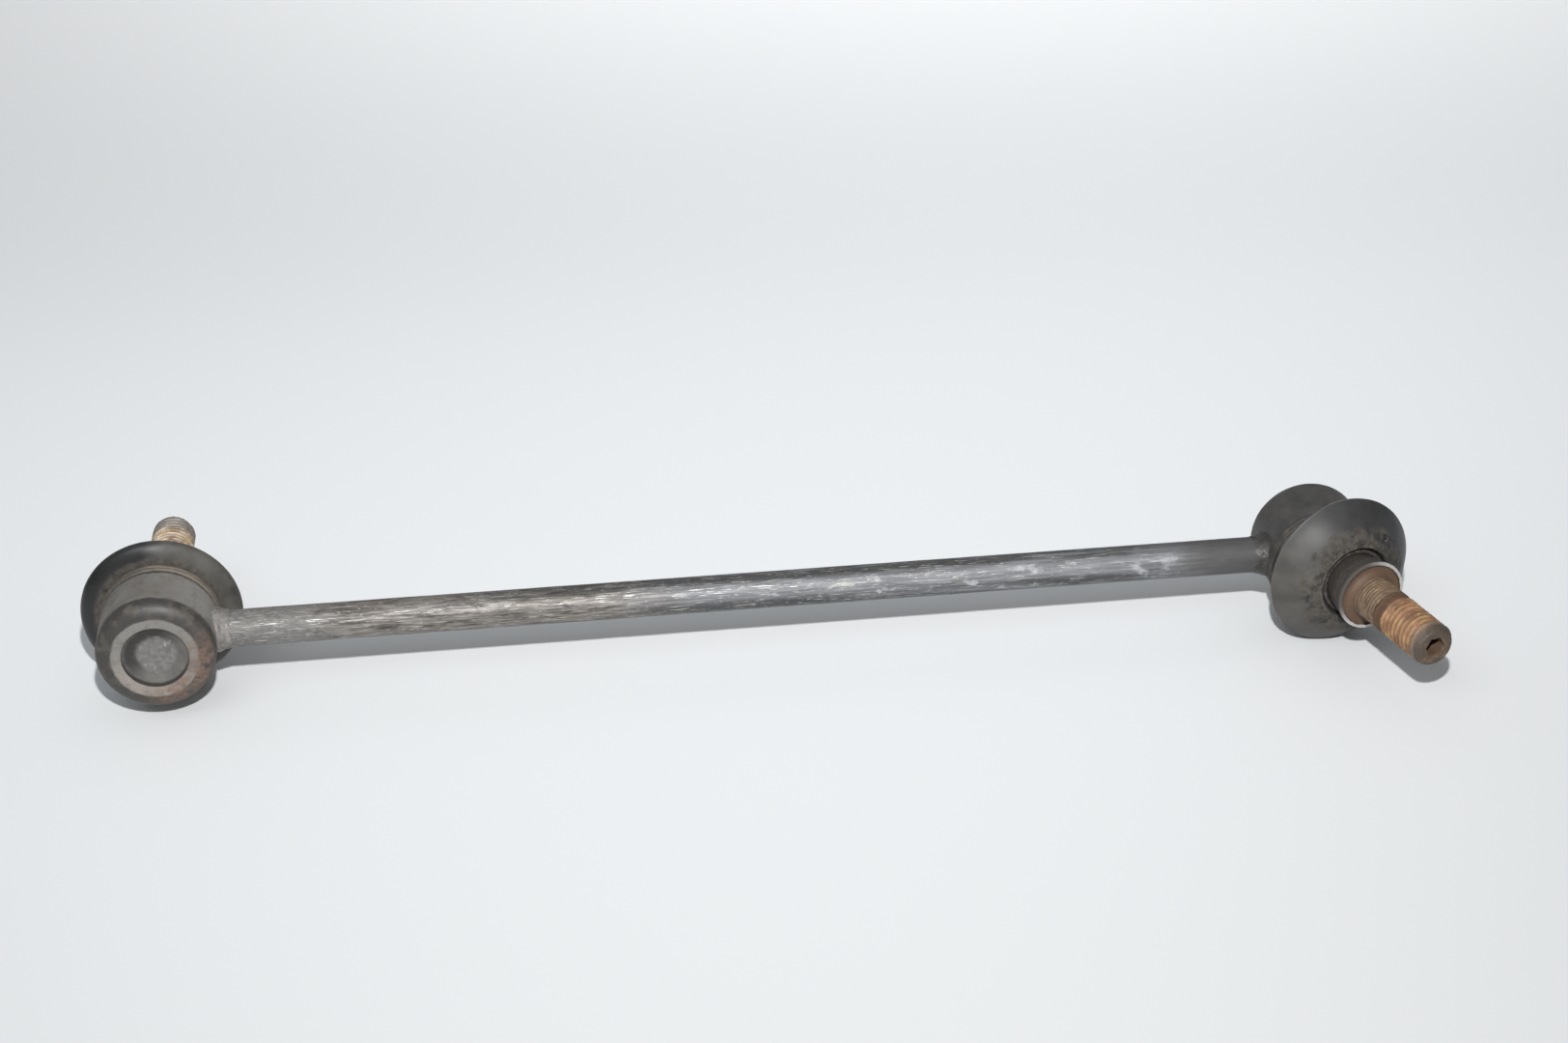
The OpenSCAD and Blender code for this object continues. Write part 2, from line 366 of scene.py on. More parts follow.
def tube(name: str, place: Place, path: np.ndarray, radius: float, sides: int = 12,
         end_scale: float = 0.75) -> bpy.types.Object:
    """Makes a round wire along a path, closed at both ends.

    Args:
        name: the piece's name.
        place: where the piece's own axis lies.
        path: points along the wire, in millimetres.
        radius: the wire's radius.
        sides: points round the wire.
        end_scale: how far the wire narrows at its ends.

    Returns:
        The new object.
    """
    ahead = np.gradient(path, axis=0)
    ahead /= np.linalg.norm(ahead, axis=1)[:, None]
    out = path * np.array([1, 1, 0])
    out /= np.linalg.norm(out, axis=1)[:, None]
    over = np.cross(ahead, out)
    turn = np.arange(sides) * 2 * math.pi / sides
    scale = np.ones(len(path))
    scale[[0, -1]] = end_scale
    spokes = np.cos(turn)[None, :, None] * out[:, None] + np.sin(turn)[None, :, None] * over[:, None]
    rest = (path[:, None] + radius * scale[:, None, None] * spokes).reshape(-1, 3)
    faces = []
    for i in range(len(path) - 1):
        for j in range(sides):
            k = (j + 1) % sides
            faces.append([i * sides + j, i * sides + k, (i + 1) * sides + k, (i + 1) * sides + j])
    faces.append(list(range(sides)))
    faces.append(list(range(len(rest) - sides, len(rest))))
    return make_object(name, place.world(rest), faces, rest)


# Finishes


class Graph:
    """Adds and joins the nodes of one node tree."""

    def __init__(self, tree: bpy.types.NodeTree) -> None:
        """Keeps the tree that the nodes go into."""
        self.tree = tree

    def add(self, kind: str, **settings: object) -> bpy.types.Node:
        """Adds one node and sets its properties.

        Args:
            kind: the node's type.
            settings: its properties by name.

        Returns:
            The new node.
        """
        node = self.tree.nodes.new(kind)
        for key, value in settings.items():
            setattr(node, key, value)
        return node

    def feed(self, socket: bpy.types.NodeSocket, value: object) -> None:
        """Links a socket to another, or sets its value.

        Args:
            socket: the input to fill.
            value: another socket, or a plain value.
        """
        if isinstance(value, bpy.types.NodeSocket):
            self.tree.links.new(value, socket)
        else:
            socket.default_value = value

    def math(self, operation: str, a: object, b: object) -> bpy.types.NodeSocket:
        """Adds a Math node.

        Args:
            operation: the node's operation.
            a: first socket or number.
            b: second socket or number.

        Returns:
            The result's socket.
        """
        node = self.add("ShaderNodeMath", operation=operation)
        self.feed(node.inputs[0], a)
        self.feed(node.inputs[1], b)
        return node.outputs[0]

    def soft(self, value: object, low: object, high: object) -> bpy.types.NodeSocket:
        """Rises softly from 0 at low to 1 at high.

        Args:
            value: socket to read.
            low: socket or number of the low end.
            high: socket or number of the high end.

        Returns:
            The rise's socket.
        """
        node = self.add("ShaderNodeMapRange", interpolation_type="SMOOTHSTEP")
        for name, part in (("Value", value), ("From Min", low), ("From Max", high)):
            self.feed(node.inputs[name], part)
        return node.outputs[0]

    def mix(self, factor: object, a: object, b: object, colour: bool) -> bpy.types.NodeSocket:
        """Mixes two colours or two numbers.

        Args:
            factor: share of b.
            a: first colour or number.
            b: second colour or number.
            colour: True for colours.

        Returns:
            The mix's socket.
        """
        node = self.add("ShaderNodeMix", data_type="RGBA" if colour else "FLOAT")
        first, second, result = (6, 7, 2) if colour else (2, 3, 0)
        self.feed(node.inputs[0], factor)
        self.feed(node.inputs[first], a)
        self.feed(node.inputs[second], b)
        return node.outputs[result]

    def vector(self, operation: str, a: object, b: Optional[object] = None) -> bpy.types.NodeSocket:
        """Adds a Vector Math node.

        Args:
            operation: the node's operation.
            a: first socket or vector.
            b: second socket or vector, or the number to scale by.

        Returns:
            The result's socket.
        """
        node = self.add("ShaderNodeVectorMath", operation=operation)
        self.feed(node.inputs[0], a)
        if b is not None:
            self.feed(node.inputs["Scale" if operation == "SCALE" else 1], b)
        return node.outputs["Value" if operation == "DOT_PRODUCT" else 0]

    def noise(self, place: object, scale: object, detail: float, roughness: float = 0.5
              ) -> bpy.types.NodeSocket:
        """Adds a Noise texture.

        Args:
            place: socket of the place to read.
            scale: socket of the number of cycles per millimetre.
            detail: layers of finer detail.
            roughness: weight of the finer layers.

        Returns:
            The noise's socket.
        """
        node = self.add("ShaderNodeTexNoise")
        parts = (("Vector", place), ("Scale", scale), ("Detail", detail), ("Roughness", roughness))
        for name, part in parts:
            self.feed(node.inputs[name], part)
        return node.outputs[0]

    def split(self, value: object) -> bpy.types.Node:
        """Adds a node that splits a vector into its three coordinates.

        Args:
            value: socket of the vector.

        Returns:
            The new node.
        """
        node = self.add("ShaderNodeSeparateXYZ")
        self.feed(node.inputs[0], value)
        return node

    def coordinate(self, kind: str) -> bpy.types.NodeSocket:
        """Adds a Texture Coordinate node and gives one of its sockets."""
        return self.add("ShaderNodeTexCoord").outputs[kind]


class Effect(Enum):
    """The shared surface effects, each one a node group."""

    PATCHES = "ragged patches"
    BAND = "band"
    FACING = "facing side"


class Effects:
    """Builds each shared effect once, the first time that a finish asks for it."""

    groups: dict[Effect, bpy.types.NodeTree] = {}
    edge_at_none: float = 0.74
    edge_range: float = 0.48
    tone_finer: float = 2.3
    tone_limits: tuple[float, float] = (0.3, 0.7)

    @classmethod
    def get(cls, effect: Effect) -> bpy.types.NodeTree:
        """Gives the node group of an effect.

        Args:
            effect: which effect.

        Returns:
            Its group, made once.
        """
        if effect not in cls.groups:
            makers = {Effect.PATCHES: cls.patches, Effect.BAND: cls.band, Effect.FACING: cls.facing}
            cls.groups[effect] = makers[effect](effect.value)
        return cls.groups[effect]

    @staticmethod
    def start(name: str, vectors: Sequence[str], numbers: Sequence[str], outputs: Sequence[str]
              ) -> tuple[Graph, bpy.types.Node, bpy.types.Node]:
        """Makes an empty group.

        Args:
            name: the group's name.
            vectors: names of its vector inputs.
            numbers: names of its number inputs.
            outputs: names of its number outputs.

        Returns:
            The group's graph and its input and output nodes.
        """
        tree = bpy.data.node_groups.new(name, "ShaderNodeTree")
        sockets = [(label, "INPUT", "Vector") for label in vectors]
        sockets += [(label, "INPUT", "Float") for label in numbers]
        sockets += [(label, "OUTPUT", "Float") for label in outputs]
        for label, way, kind in sockets:
            tree.interface.new_socket(label, in_out=way, socket_type="NodeSocket" + kind)
        graph = Graph(tree)
        return graph, graph.add("NodeGroupInput"), graph.add("NodeGroupOutput")

    @classmethod
    def patches(cls, name: str) -> bpy.types.NodeTree:
        """Ragged patches of noise, with a second noise for the tone.

        Args:
            name: the group's name.

        Returns:
            The group.
        """
        numbers = ["Scale", "Amount", "Softness", "Seed"]
        g, i, o = cls.start(name, ["Place", "Stretch"], numbers, ["Mask", "Tone"])
        scale, softness = i.outputs["Scale"], i.outputs["Softness"]
        grown = g.vector("MULTIPLY", i.outputs["Place"], i.outputs["Stretch"])
        moved = g.vector("ADD", grown, i.outputs["Seed"])
        grain = g.noise(moved, scale, 7.0, 0.62)
        fall = g.math("MULTIPLY", i.outputs["Amount"], cls.edge_range)
        edge = g.math("SUBTRACT", cls.edge_at_none, fall)
        low, high = g.math("SUBTRACT", edge, softness), g.math("ADD", edge, softness)
        g.feed(o.inputs["Mask"], g.soft(grain, low, high))
        tone = g.noise(moved, g.math("MULTIPLY", scale, cls.tone_finer), 4.0)
        g.feed(o.inputs["Tone"], g.soft(tone, *cls.tone_limits))
        return g.tree

    @classmethod
    def band(cls, name: str) -> bpy.types.NodeTree:
        """A band between two places along one coordinate, with ragged edges.

        Args:
            name: the group's name.

        Returns:
            The group.
        """
        numbers = ["Coordinate", "Start", "End", "Softness", "Ragged", "Scale"]
        g, i, o = cls.start(name, ["Place"], numbers, ["Mask"])
        grain = g.noise(i.outputs["Place"], i.outputs["Scale"], 5.0)
        shift = g.math("MULTIPLY", g.math("SUBTRACT", grain, 0.5), i.outputs["Ragged"])
        at = g.math("ADD", i.outputs["Coordinate"], shift)
        steps = []
        for edge in (i.outputs["Start"], i.outputs["End"]):
            low = g.math("SUBTRACT", edge, i.outputs["Softness"])
            high = g.math("ADD", edge, i.outputs["Softness"])
            steps.append(g.soft(at, low, high))
        rise, fall = steps
        g.feed(o.inputs["Mask"], g.math("MULTIPLY", rise, g.math("SUBTRACT", 1.0, fall)))
        return g.tree

    @classmethod
    def facing(cls, name: str) -> bpy.types.NodeTree:
        """The side of a turned piece that lies towards one direction.

        Args:
            name: the group's name.

        Returns:
            The group.
        """
        g, i, o = cls.start(name, ["Place", "Direction"], ["Low", "High"], ["Mask"])
        flat = g.vector("MULTIPLY", i.outputs["Place"], (1, 1, 0))
        unit = g.vector("NORMALIZE", flat)
        dot = g.vector("DOT_PRODUCT", unit, i.outputs["Direction"])
        g.feed(o.inputs["Mask"], g.soft(dot, i.outputs["Low"], i.outputs["High"]))
        return g.tree


@dataclass(frozen=True)
class Patches:
    """Where a layer shows: ragged patches."""

    scale: float
    amount: float
    soft: float = 0.05
    stretch: Vec = (1.0, 1.0, 1.0)
    seed: float = 0.0


@dataclass(frozen=True)
class Band:
    """Where a layer shows: between two places along a coordinate."""

    along: Along
    start: float
    end: float
    soft: float = 0.3
    ragged: float = 0.0
    scale: float = 0.4


@dataclass(frozen=True)
class Facing:
    """Where a layer shows: the side towards an angle round the axis, in degrees."""

    angle: float
    spread: float
    soft: float = 20.0


Where = Union[Patches, Band, Facing]


def axial(start: float, end: float, soft: float = 0.3, ragged: float = 0.0, scale: float = 0.4) -> Band:
    """A band between two heights, with the values of Band."""
    return Band(Along.AXIS, start, end, soft, ragged, scale)


def radial(start: float, end: float, soft: float = 0.3, ragged: float = 0.0, scale: float = 0.4) -> Band:
    """A band between two distances from the axis, with the values of Band."""
    return Band(Along.RADIUS, start, end, soft, ragged, scale)


@dataclass(frozen=True)
class Layer:
    """One coat of a finish: its two tones, gloss, and where it shows."""

    dark: RGB
    light: RGB
    roughness: float
    metallic: float
    where: tuple[Where, ...]
    share: float = 1.0
    height: float = 0.0


@dataclass(frozen=True)
class Finish:
    """A whole finish: a mottled ground, fine grain, and the layers that lie on it."""

    name: str
    dark: RGB
    light: RGB
    roughness: float
    metallic: float
    mottle: Patches = Patches(0.35, 0.5, 0.25)
    grain: float = 0.01
    grain_scale: float = 3.0
    grain_stretch: Vec = (1.0, 1.0, 1.0)
    layers: tuple[Layer, ...] = ()
    rough_range: float = 0.12
    own_place: bool = True

    def mask(self, g: Graph, where: Where, place: bpy.types.NodeSocket,
             spot: bpy.types.Node) -> bpy.types.Node:
        """Adds the group of one effect with its values.

        Args:
            g: the material's graph.
            where: the effect and its values.
            place: socket of the rest place, in millimetres.
            spot: node that splits radius, turn and height.

        Returns:
            The group node.
        """
        kind = {Patches: Effect.PATCHES, Band: Effect.BAND, Facing: Effect.FACING}[type(where)]
        node = g.add("ShaderNodeGroup", node_tree=Effects.get(kind))
        values: dict[str, object] = {"Place": place}
        if isinstance(where, Patches):
            values |= {"Stretch": where.stretch, "Scale": where.scale, "Amount": where.amount,
                       "Softness": where.soft, "Seed": where.seed}
        elif isinstance(where, Band):
            values |= {"Coordinate": spot.outputs[where.along.value], "Start": where.start,
                       "End": where.end, "Softness": where.soft, "Ragged": where.ragged,
                       "Scale": where.scale}
        else:
            a = math.radians(where.angle)
            far = math.radians(min(180.0, where.spread + where.soft))
            near = math.radians(max(0.0, where.spread - where.soft))
            values |= {"Direction": (math.cos(a), math.sin(a), 0.0),
                       "Low": math.cos(far), "High": math.cos(near)}
        for key, value in values.items():
            g.feed(node.inputs[key], value)
        return node

    def material(self) -> bpy.types.Material:
        """Makes the finish's material.

        Returns:
            The material, made once and then shared.
        """
        made = bpy.data.materials.get(self.name)
        if made is not None:
            return made
        made = bpy.data.materials.new(self.name)
        made.use_nodes = True
        g = Graph(made.node_tree)
        shader = made.node_tree.nodes["Principled BSDF"]
        if self.own_place:
            place = g.add("ShaderNodeAttribute", attribute_name="place").outputs["Vector"]
            source = g.add("ShaderNodeAttribute", attribute_name="spot").outputs["Vector"]
        else:
            place = source = g.vector("SCALE", g.coordinate("Object"), 1 / MM)
        spot = g.split(source)
        ground = self.mask(g, self.mottle, place, spot)
        fine = Patches(self.grain_scale, 0.5, soft=0.3, stretch=self.grain_stretch, seed=3.7)
        grain = self.mask(g, fine, place, spot)
        colour = g.mix(ground.outputs["Mask"], (*self.dark, 1), (*self.light, 1), True)
        change = g.math("MULTIPLY", grain.outputs["Tone"], self.rough_range)
        rough = g.math("ADD", self.roughness - self.rough_range / 2, change)
        metal: object = self.metallic
        height = g.math("MULTIPLY", grain.outputs["Mask"], self.grain)
        for layer in self.layers:
            mask: object = layer.share
            tone: object = grain.outputs["Tone"]
            for where in layer.where:
                node = self.mask(g, where, place, spot)
                mask = g.math("MULTIPLY", mask, node.outputs["Mask"])
                if isinstance(where, Patches):
                    tone = node.outputs["Tone"]
            paint = g.mix(tone, (*layer.dark, 1), (*layer.light, 1), True)
            colour = g.mix(mask, colour, paint, True)
            rough = g.mix(mask, rough, layer.roughness, False)
            if layer.metallic != self.metallic or not isinstance(metal, float):
                metal = g.mix(mask, metal, layer.metallic, False)
            if layer.height:
                height = g.math("ADD", height, g.math("MULTIPLY", mask, layer.height))
        bump = g.add("ShaderNodeBump")
        bump.inputs["Distance"].default_value = MM
        g.feed(bump.inputs["Height"], height)
        g.feed(shader.inputs["Base Color"], colour)
        g.feed(shader.inputs["Roughness"], rough)
        g.feed(shader.inputs["Metallic"], metal)
        g.feed(shader.inputs["Normal"], bump.outputs[0])
        return made

RUST = ((0.13, 0.066, 0.032), (0.27, 0.15, 0.075))
# Near-black used for real dirt and for painted shade in gaps, recesses and the bottom of the socket
BLACK_DIRT_AND_SHADE: RGB = (0.010, 0.009, 0.008)

# Places that several layers share
LIP_FACE = axial(-14.5, -12.9, 0.1)
SMALL_END = axial(18.0, 30.0, 0.5)
COLLAR = radial(7.9, 11.0, 0.2)
NEAR_BOOT = axial(20.5, 25.6, 0.5, 1.0, 0.6)
RIM_FACE = axial(27.0, 28.8, 0.2)
SOCKET = radial(-1.0, 2.95, 0.06)

ROD_STEEL = Finish(
    "rod_worn_steel", (0.060, 0.052, 0.045), (0.16, 0.144, 0.128), 0.56, 0.3,
    mottle=Patches(0.8, 0.5, 0.12, (1.0, 1.0, 0.12)), grain=0.03, grain_scale=3.4,
    grain_stretch=(1.0, 1.0, 0.05),
    layers=(
        # Bare streaks on the left
        Layer((0.17, 0.155, 0.140), (0.35, 0.331, 0.311), 0.52, 0.5,
              (Patches(2.0, 0.46, 0.05, (1.0, 1.0, 0.06), 9.0),
               axial(-150.0, 2.0, 22.0, 50.0, 0.05)), 0.75, -0.012),
        # Grey coat on the right
        Layer((0.140, 0.143, 0.150), (0.248, 0.253, 0.266), 0.58, 0.5,
              (axial(-22.0, 170.0, 22.0, 60.0, 0.05),
               Patches(0.5, 0.86, 0.06, (1.0, 1.0, 0.06), 5.0)), 0.94),
        # Dark streaks along the top
        Layer((0.016, 0.016, 0.016), (0.040, 0.039, 0.037), 0.55, 0.0,
              (Facing(86.0, 38.0, 14.0), axial(-70.0, 112.0, 20.0, 60.0, 0.06),
               Patches(0.8, 0.62, 0.06, (1.0, 1.0, 0.05), 7.0)), 0.85),
        # Dark streaks low on the front
        Layer((0.012, 0.012, 0.013), (0.035, 0.034, 0.034), 0.5, 0.1,
              (Facing(205.0, 20.0, 14.0), axial(-30.0, 112.0, 20.0, 60.0, 0.06),
               Patches(0.3, 0.70, 0.08, (1.0, 1.0, 0.06), 17.0)), 0.84),
        # Dusty left end
        Layer((0.115, 0.110, 0.104), (0.180, 0.175, 0.166), 0.62, 0.05,
              (axial(-160.0, -115.0, 8.0, 24.0, 0.12),
               Patches(0.6, 0.76, 0.1, (1.0, 1.0, 0.5), 2.0)), 0.85),
        # Dark spots
        Layer((0.03, 0.026, 0.022), (0.06, 0.052, 0.045), 0.7, 0.0,
              (axial(-150.0, -30.0, 6.0), Patches(0.45, 0.24, 0.05, (1.0, 1.0, 0.4), 44.0)), 0.6),
        # Pale flecks
        Layer((0.36, 0.355, 0.345), (0.62, 0.61, 0.59), 0.5, 0.2,
              (axial(-150.0, 90.0, 8.0), Patches(3.2, 0.2, 0.03, (1.0, 1.0, 0.14), 14.0)), 0.75),
        # Bright scratches
        Layer((0.38, 0.37, 0.35), (0.64, 0.625, 0.60), 0.36, 0.5,
              (axial(-150.0, 120.0, 10.0), Patches(3.6, 0.27, 0.03, (1.0, 1.0, 0.04), 77.0)), 0.8),
        # Pale smudges on the front
        Layer((0.26, 0.265, 0.272), (0.50, 0.508, 0.52), 0.62, 0.0,
              (axial(-34.0, 120.0, 6.0, 10.0, 0.1), Facing(172.0, 36.0, 16.0),
               Patches(0.24, 0.25, 0.05, (1.0, 1.0, 0.6), 31.0)), 0.7),
        # Yellowish smudges above them
        Layer((0.34, 0.33, 0.28), (0.52, 0.51, 0.46), 0.5, 0.2,
              (axial(-10.0, 60.0, 6.0), Facing(150.0, 14.0, 8.0),
               Patches(0.8, 0.3, 0.04, (1.0, 1.0, 0.3), 61.0)), 0.7),
        # Dark right end
        Layer((0.042, 0.041, 0.040), (0.066, 0.064, 0.062), 0.56, 0.0,
              (axial(120.0, 170.0, 10.0, 22.0, 0.09),), 0.9),
    ))

WELD_STEEL = Finish(
    "weld_burnt_steel", (0.14, 0.13, 0.12), (0.26, 0.25, 0.235), 0.55, 0.2, grain=0.05, grain_scale=1.6,
    layers=(
        # Burnt patches
        Layer((0.06, 0.048, 0.04), (0.12, 0.095, 0.078), 0.8, 0.0, (Patches(0.6, 0.34),), 0.7),
        # Bright specks
        Layer((0.4, 0.39, 0.37), (0.6, 0.58, 0.55), 0.4, 0.5, (Patches(1.3, 0.2, 0.04, seed=8.0),), 0.7),
    ))

WELD_COATED = Finish(
    "weld_dark_coat", (0.018, 0.017, 0.016), (0.048, 0.045, 0.042), 0.45, 0.0, grain=0.06, grain_scale=1.4,
    layers=(Layer((0.075, 0.068, 0.06), (0.12, 0.11, 0.10), 0.6, 0.1, (Patches(0.8, 0.3, 0.1),), 0.5),))

HOUSING_DUSTY = Finish(
    "housing_dusty_steel", (0.135, 0.126, 0.114), (0.195, 0.185, 0.170), 0.62, 0.05,
    mottle=Patches(0.10, 0.5, 0.2), grain=0.025, grain_scale=2.0,
    layers=(
        # Dark rounded edge
        Layer((0.021, 0.019, 0.017), (0.044, 0.040, 0.036), 0.48, 0.12,
              (axial(-14.0, -8.6, 0.6, 2.2, 0.3), radial(11.2, 16.0, 0.35, 0.9, 0.4)), 0.93),
        # Worn rolled lip
        Layer((0.155, 0.147, 0.136), (0.225, 0.214, 0.199), 0.52, 0.15,
              (LIP_FACE, radial(9.0, 11.2, 0.5, 1.4, 0.28)), 0.95),
        # Brighter stretch of the lip
        Layer((0.215, 0.185, 0.162), (0.29, 0.25, 0.222), 0.6, 0.05,
              (Facing(105.0, 55.0, 30.0), LIP_FACE, radial(8.8, 11.4, 0.4, 1.2, 0.4)), 0.8),
        # Rust stain
        Layer((0.115, 0.070, 0.050), (0.19, 0.125, 0.092), 0.72, 0.0,
              (Facing(38.0, 52.0, 30.0), axial(-14.0, -11.6, 0.7, 1.4, 0.3),
               Patches(0.4, 0.62, 0.12)), 0.75),
        # Painted shade in the crevice inside the rolled lip, where the plate meets it
        Layer(BLACK_DIRT_AND_SHADE, (0.024, 0.021, 0.019), 0.75, 0.0,
              (radial(8.0, 8.72, 0.06, 0.2, 0.8), axial(-13.05, -11.5, 0.08)), 0.85),
        # Dusty side of the wall
        Layer((0.20, 0.19, 0.174), (0.27, 0.258, 0.24), 0.62, 0.05,
              (Facing(-8.0, 46.0, 34.0), axial(-8.5, 5.0, 1.5, 2.0, 0.3)), 0.85),
        # Painted shade in the ragged gap between the housing's shoulder and the boot's bead
        Layer(BLACK_DIRT_AND_SHADE, (0.030, 0.027, 0.025), 0.7, 0.0, (axial(5.2, 7.0, 0.15, 1.4, 0.9),), 0.97),
        # Dull patches
        Layer((0.085, 0.072, 0.060), (0.13, 0.115, 0.098), 0.8, 0.0,
              (Patches(0.28, 0.34, 0.1, seed=6.0),), 0.5),
    ))

HOUSING_COATED = Finish(
    "housing_dark_coat", (0.032, 0.031, 0.030), (0.050, 0.049, 0.047), 0.50, 0.0,
    mottle=Patches(0.14, 0.5, 0.2), grain=0.02, grain_scale=2.2,
    layers=(
        # Dusty patches
        Layer((0.070, 0.062, 0.054), (0.10, 0.090, 0.079), 0.75, 0.0,
              (Patches(0.16, 0.40, 0.12, seed=4.0),), 0.45),
        # Rust specks
        Layer((0.09, 0.06, 0.04), (0.15, 0.10, 0.07), 0.85, 0.0,
              (Patches(0.9, 0.10, 0.04, seed=12.0),), 0.6),
    ))

PLATE_SCUFFED = Finish(
    "plate_scuffed_steel", (0.085, 0.080, 0.074), (0.125, 0.119, 0.111), 0.55, 0.1,
    grain=0.03, grain_scale=1.8,
    layers=(
        # Scuffed middle
        Layer((0.115, 0.110, 0.103), (0.18, 0.175, 0.166), 0.6, 0.1,
              (radial(-1.0, 5.3, 0.9, 2.4, 0.3), Patches(0.35, 0.80, 0.16)), 0.88),
        # Painted shade on the upper left wall of the dish
        Layer((0.012, 0.011, 0.010), (0.027, 0.025, 0.022), 0.6, 0.1,
              (Facing(222.0, 86.0, 34.0), radial(5.0, 8.1, 0.8, 1.0, 0.4)), 0.88),
        # Painted shade in the crevice under the lower part of the lip
        Layer(BLACK_DIRT_AND_SHADE, (0.03, 0.026, 0.023), 0.75, 0.0,
              (radial(8.15, 9.0, 0.12, 0.3, 0.6), Facing(85.0, 70.0, 30.0)), 0.85),
        # Pale scuffs
        Layer((0.26, 0.26, 0.25), (0.40, 0.40, 0.385), 0.5, 0.2,
              (radial(-1.0, 5.4, 0.8, 2.0, 0.4), Patches(0.9, 0.26, 0.05, (1.0, 0.5, 1.0), 21.0)), 0.6),
    ))

PLATE_COATED = Finish(
    "plate_dark_coat", (0.045, 0.042, 0.04), (0.085, 0.08, 0.075), 0.5, 0.1, grain=0.03, grain_scale=2.0,
    layers=(Layer(*RUST, 0.85, 0.0, (Patches(0.4, 0.30),), 0.6),))

CLAMP_WIRE = Finish(
    "clamp_rusty_wire", (0.10, 0.085, 0.070), (0.18, 0.158, 0.132), 0.55, 0.2, grain=0.02, grain_scale=2.5,
    layers=(
        # Rust
        Layer((0.10, 0.066, 0.044), (0.17, 0.115, 0.08), 0.85, 0.0, (Patches(0.35, 0.36, 0.08),), 0.5),
        # Darker patches on the left side
        Layer((0.022, 0.020, 0.018), (0.05, 0.044, 0.038), 0.8, 0.0,
              (Facing(185.0, 80.0, 40.0), Patches(0.22, 0.6, 0.08, seed=9.0)), 0.7),
    ))

CLAMP_DIRTY = Finish(
    "clamp_dirty_wire", (0.022, 0.020, 0.018), (0.052, 0.045, 0.038), 0.62, 0.05,
    grain=0.02, grain_scale=2.5,
    layers=(Layer((0.07, 0.05, 0.036), (0.12, 0.088, 0.064), 0.85, 0.0,
                  (Patches(0.35, 0.22, 0.08),), 0.6),))

RING_WIRE = Finish(
    "ring_dirty_wire", (0.05, 0.042, 0.036), (0.12, 0.105, 0.09), 0.6, 0.2, grain=0.03, grain_scale=2.5,
    layers=(Layer(BLACK_DIRT_AND_SHADE, (0.05, 0.04, 0.034), 0.9, 0.0, (Patches(0.6, 0.6),), 0.85),))

SEAT_PLASTIC = Finish("seat_white_plastic", (0.60, 0.58, 0.52), (0.70, 0.68, 0.62), 0.4, 0.0,
                      own_place=False)

RUBBER_DARK: RGB = (0.016, 0.016, 0.017)
RUBBER_LIGHT: RGB = (0.030, 0.030, 0.030)
RUBBER_DUST = ((0.056, 0.052, 0.045), (0.090, 0.083, 0.073))
GRIME = ((0.040, 0.034, 0.028), (0.078, 0.066, 0.053))
SEAM_DUST = Layer((0.075, 0.073, 0.070), (0.13, 0.126, 0.12), 0.6, 0.0,
                  (axial(12.08, 12.32, 0.06), radial(20.6, 23.0, 0.2)), 0.5)

RUBBER_BACK = Finish(
    "boot_rubber_back", RUBBER_DARK, RUBBER_LIGHT, 0.31, 0.0, mottle=Patches(0.12, 0.5, 0.2), grain=0.008,
    grain_scale=2.6,
    layers=(
        # Glossy side on the left, its colour painted darker as shade away from the key light
        Layer((0.006, 0.006, 0.006), (0.012, 0.012, 0.012), 0.36, 0.0, (Facing(175.0, 60.0, 40.0),), 0.85),
        # Dusty side
        Layer(*RUBBER_DUST, 0.82, 0.0,
              (Facing(-20.0, 64.0, 18.0), Patches(0.1, 0.80, 0.2, seed=3.0)), 0.85),
        # Grime beside the bead
        Layer(*GRIME, 0.85, 0.0, (radial(14.0, 17.4, 0.8, 2.0, 0.4), Patches(0.4, 0.74, 0.12)), 0.85, 0.04),
        SEAM_DUST,
    ))

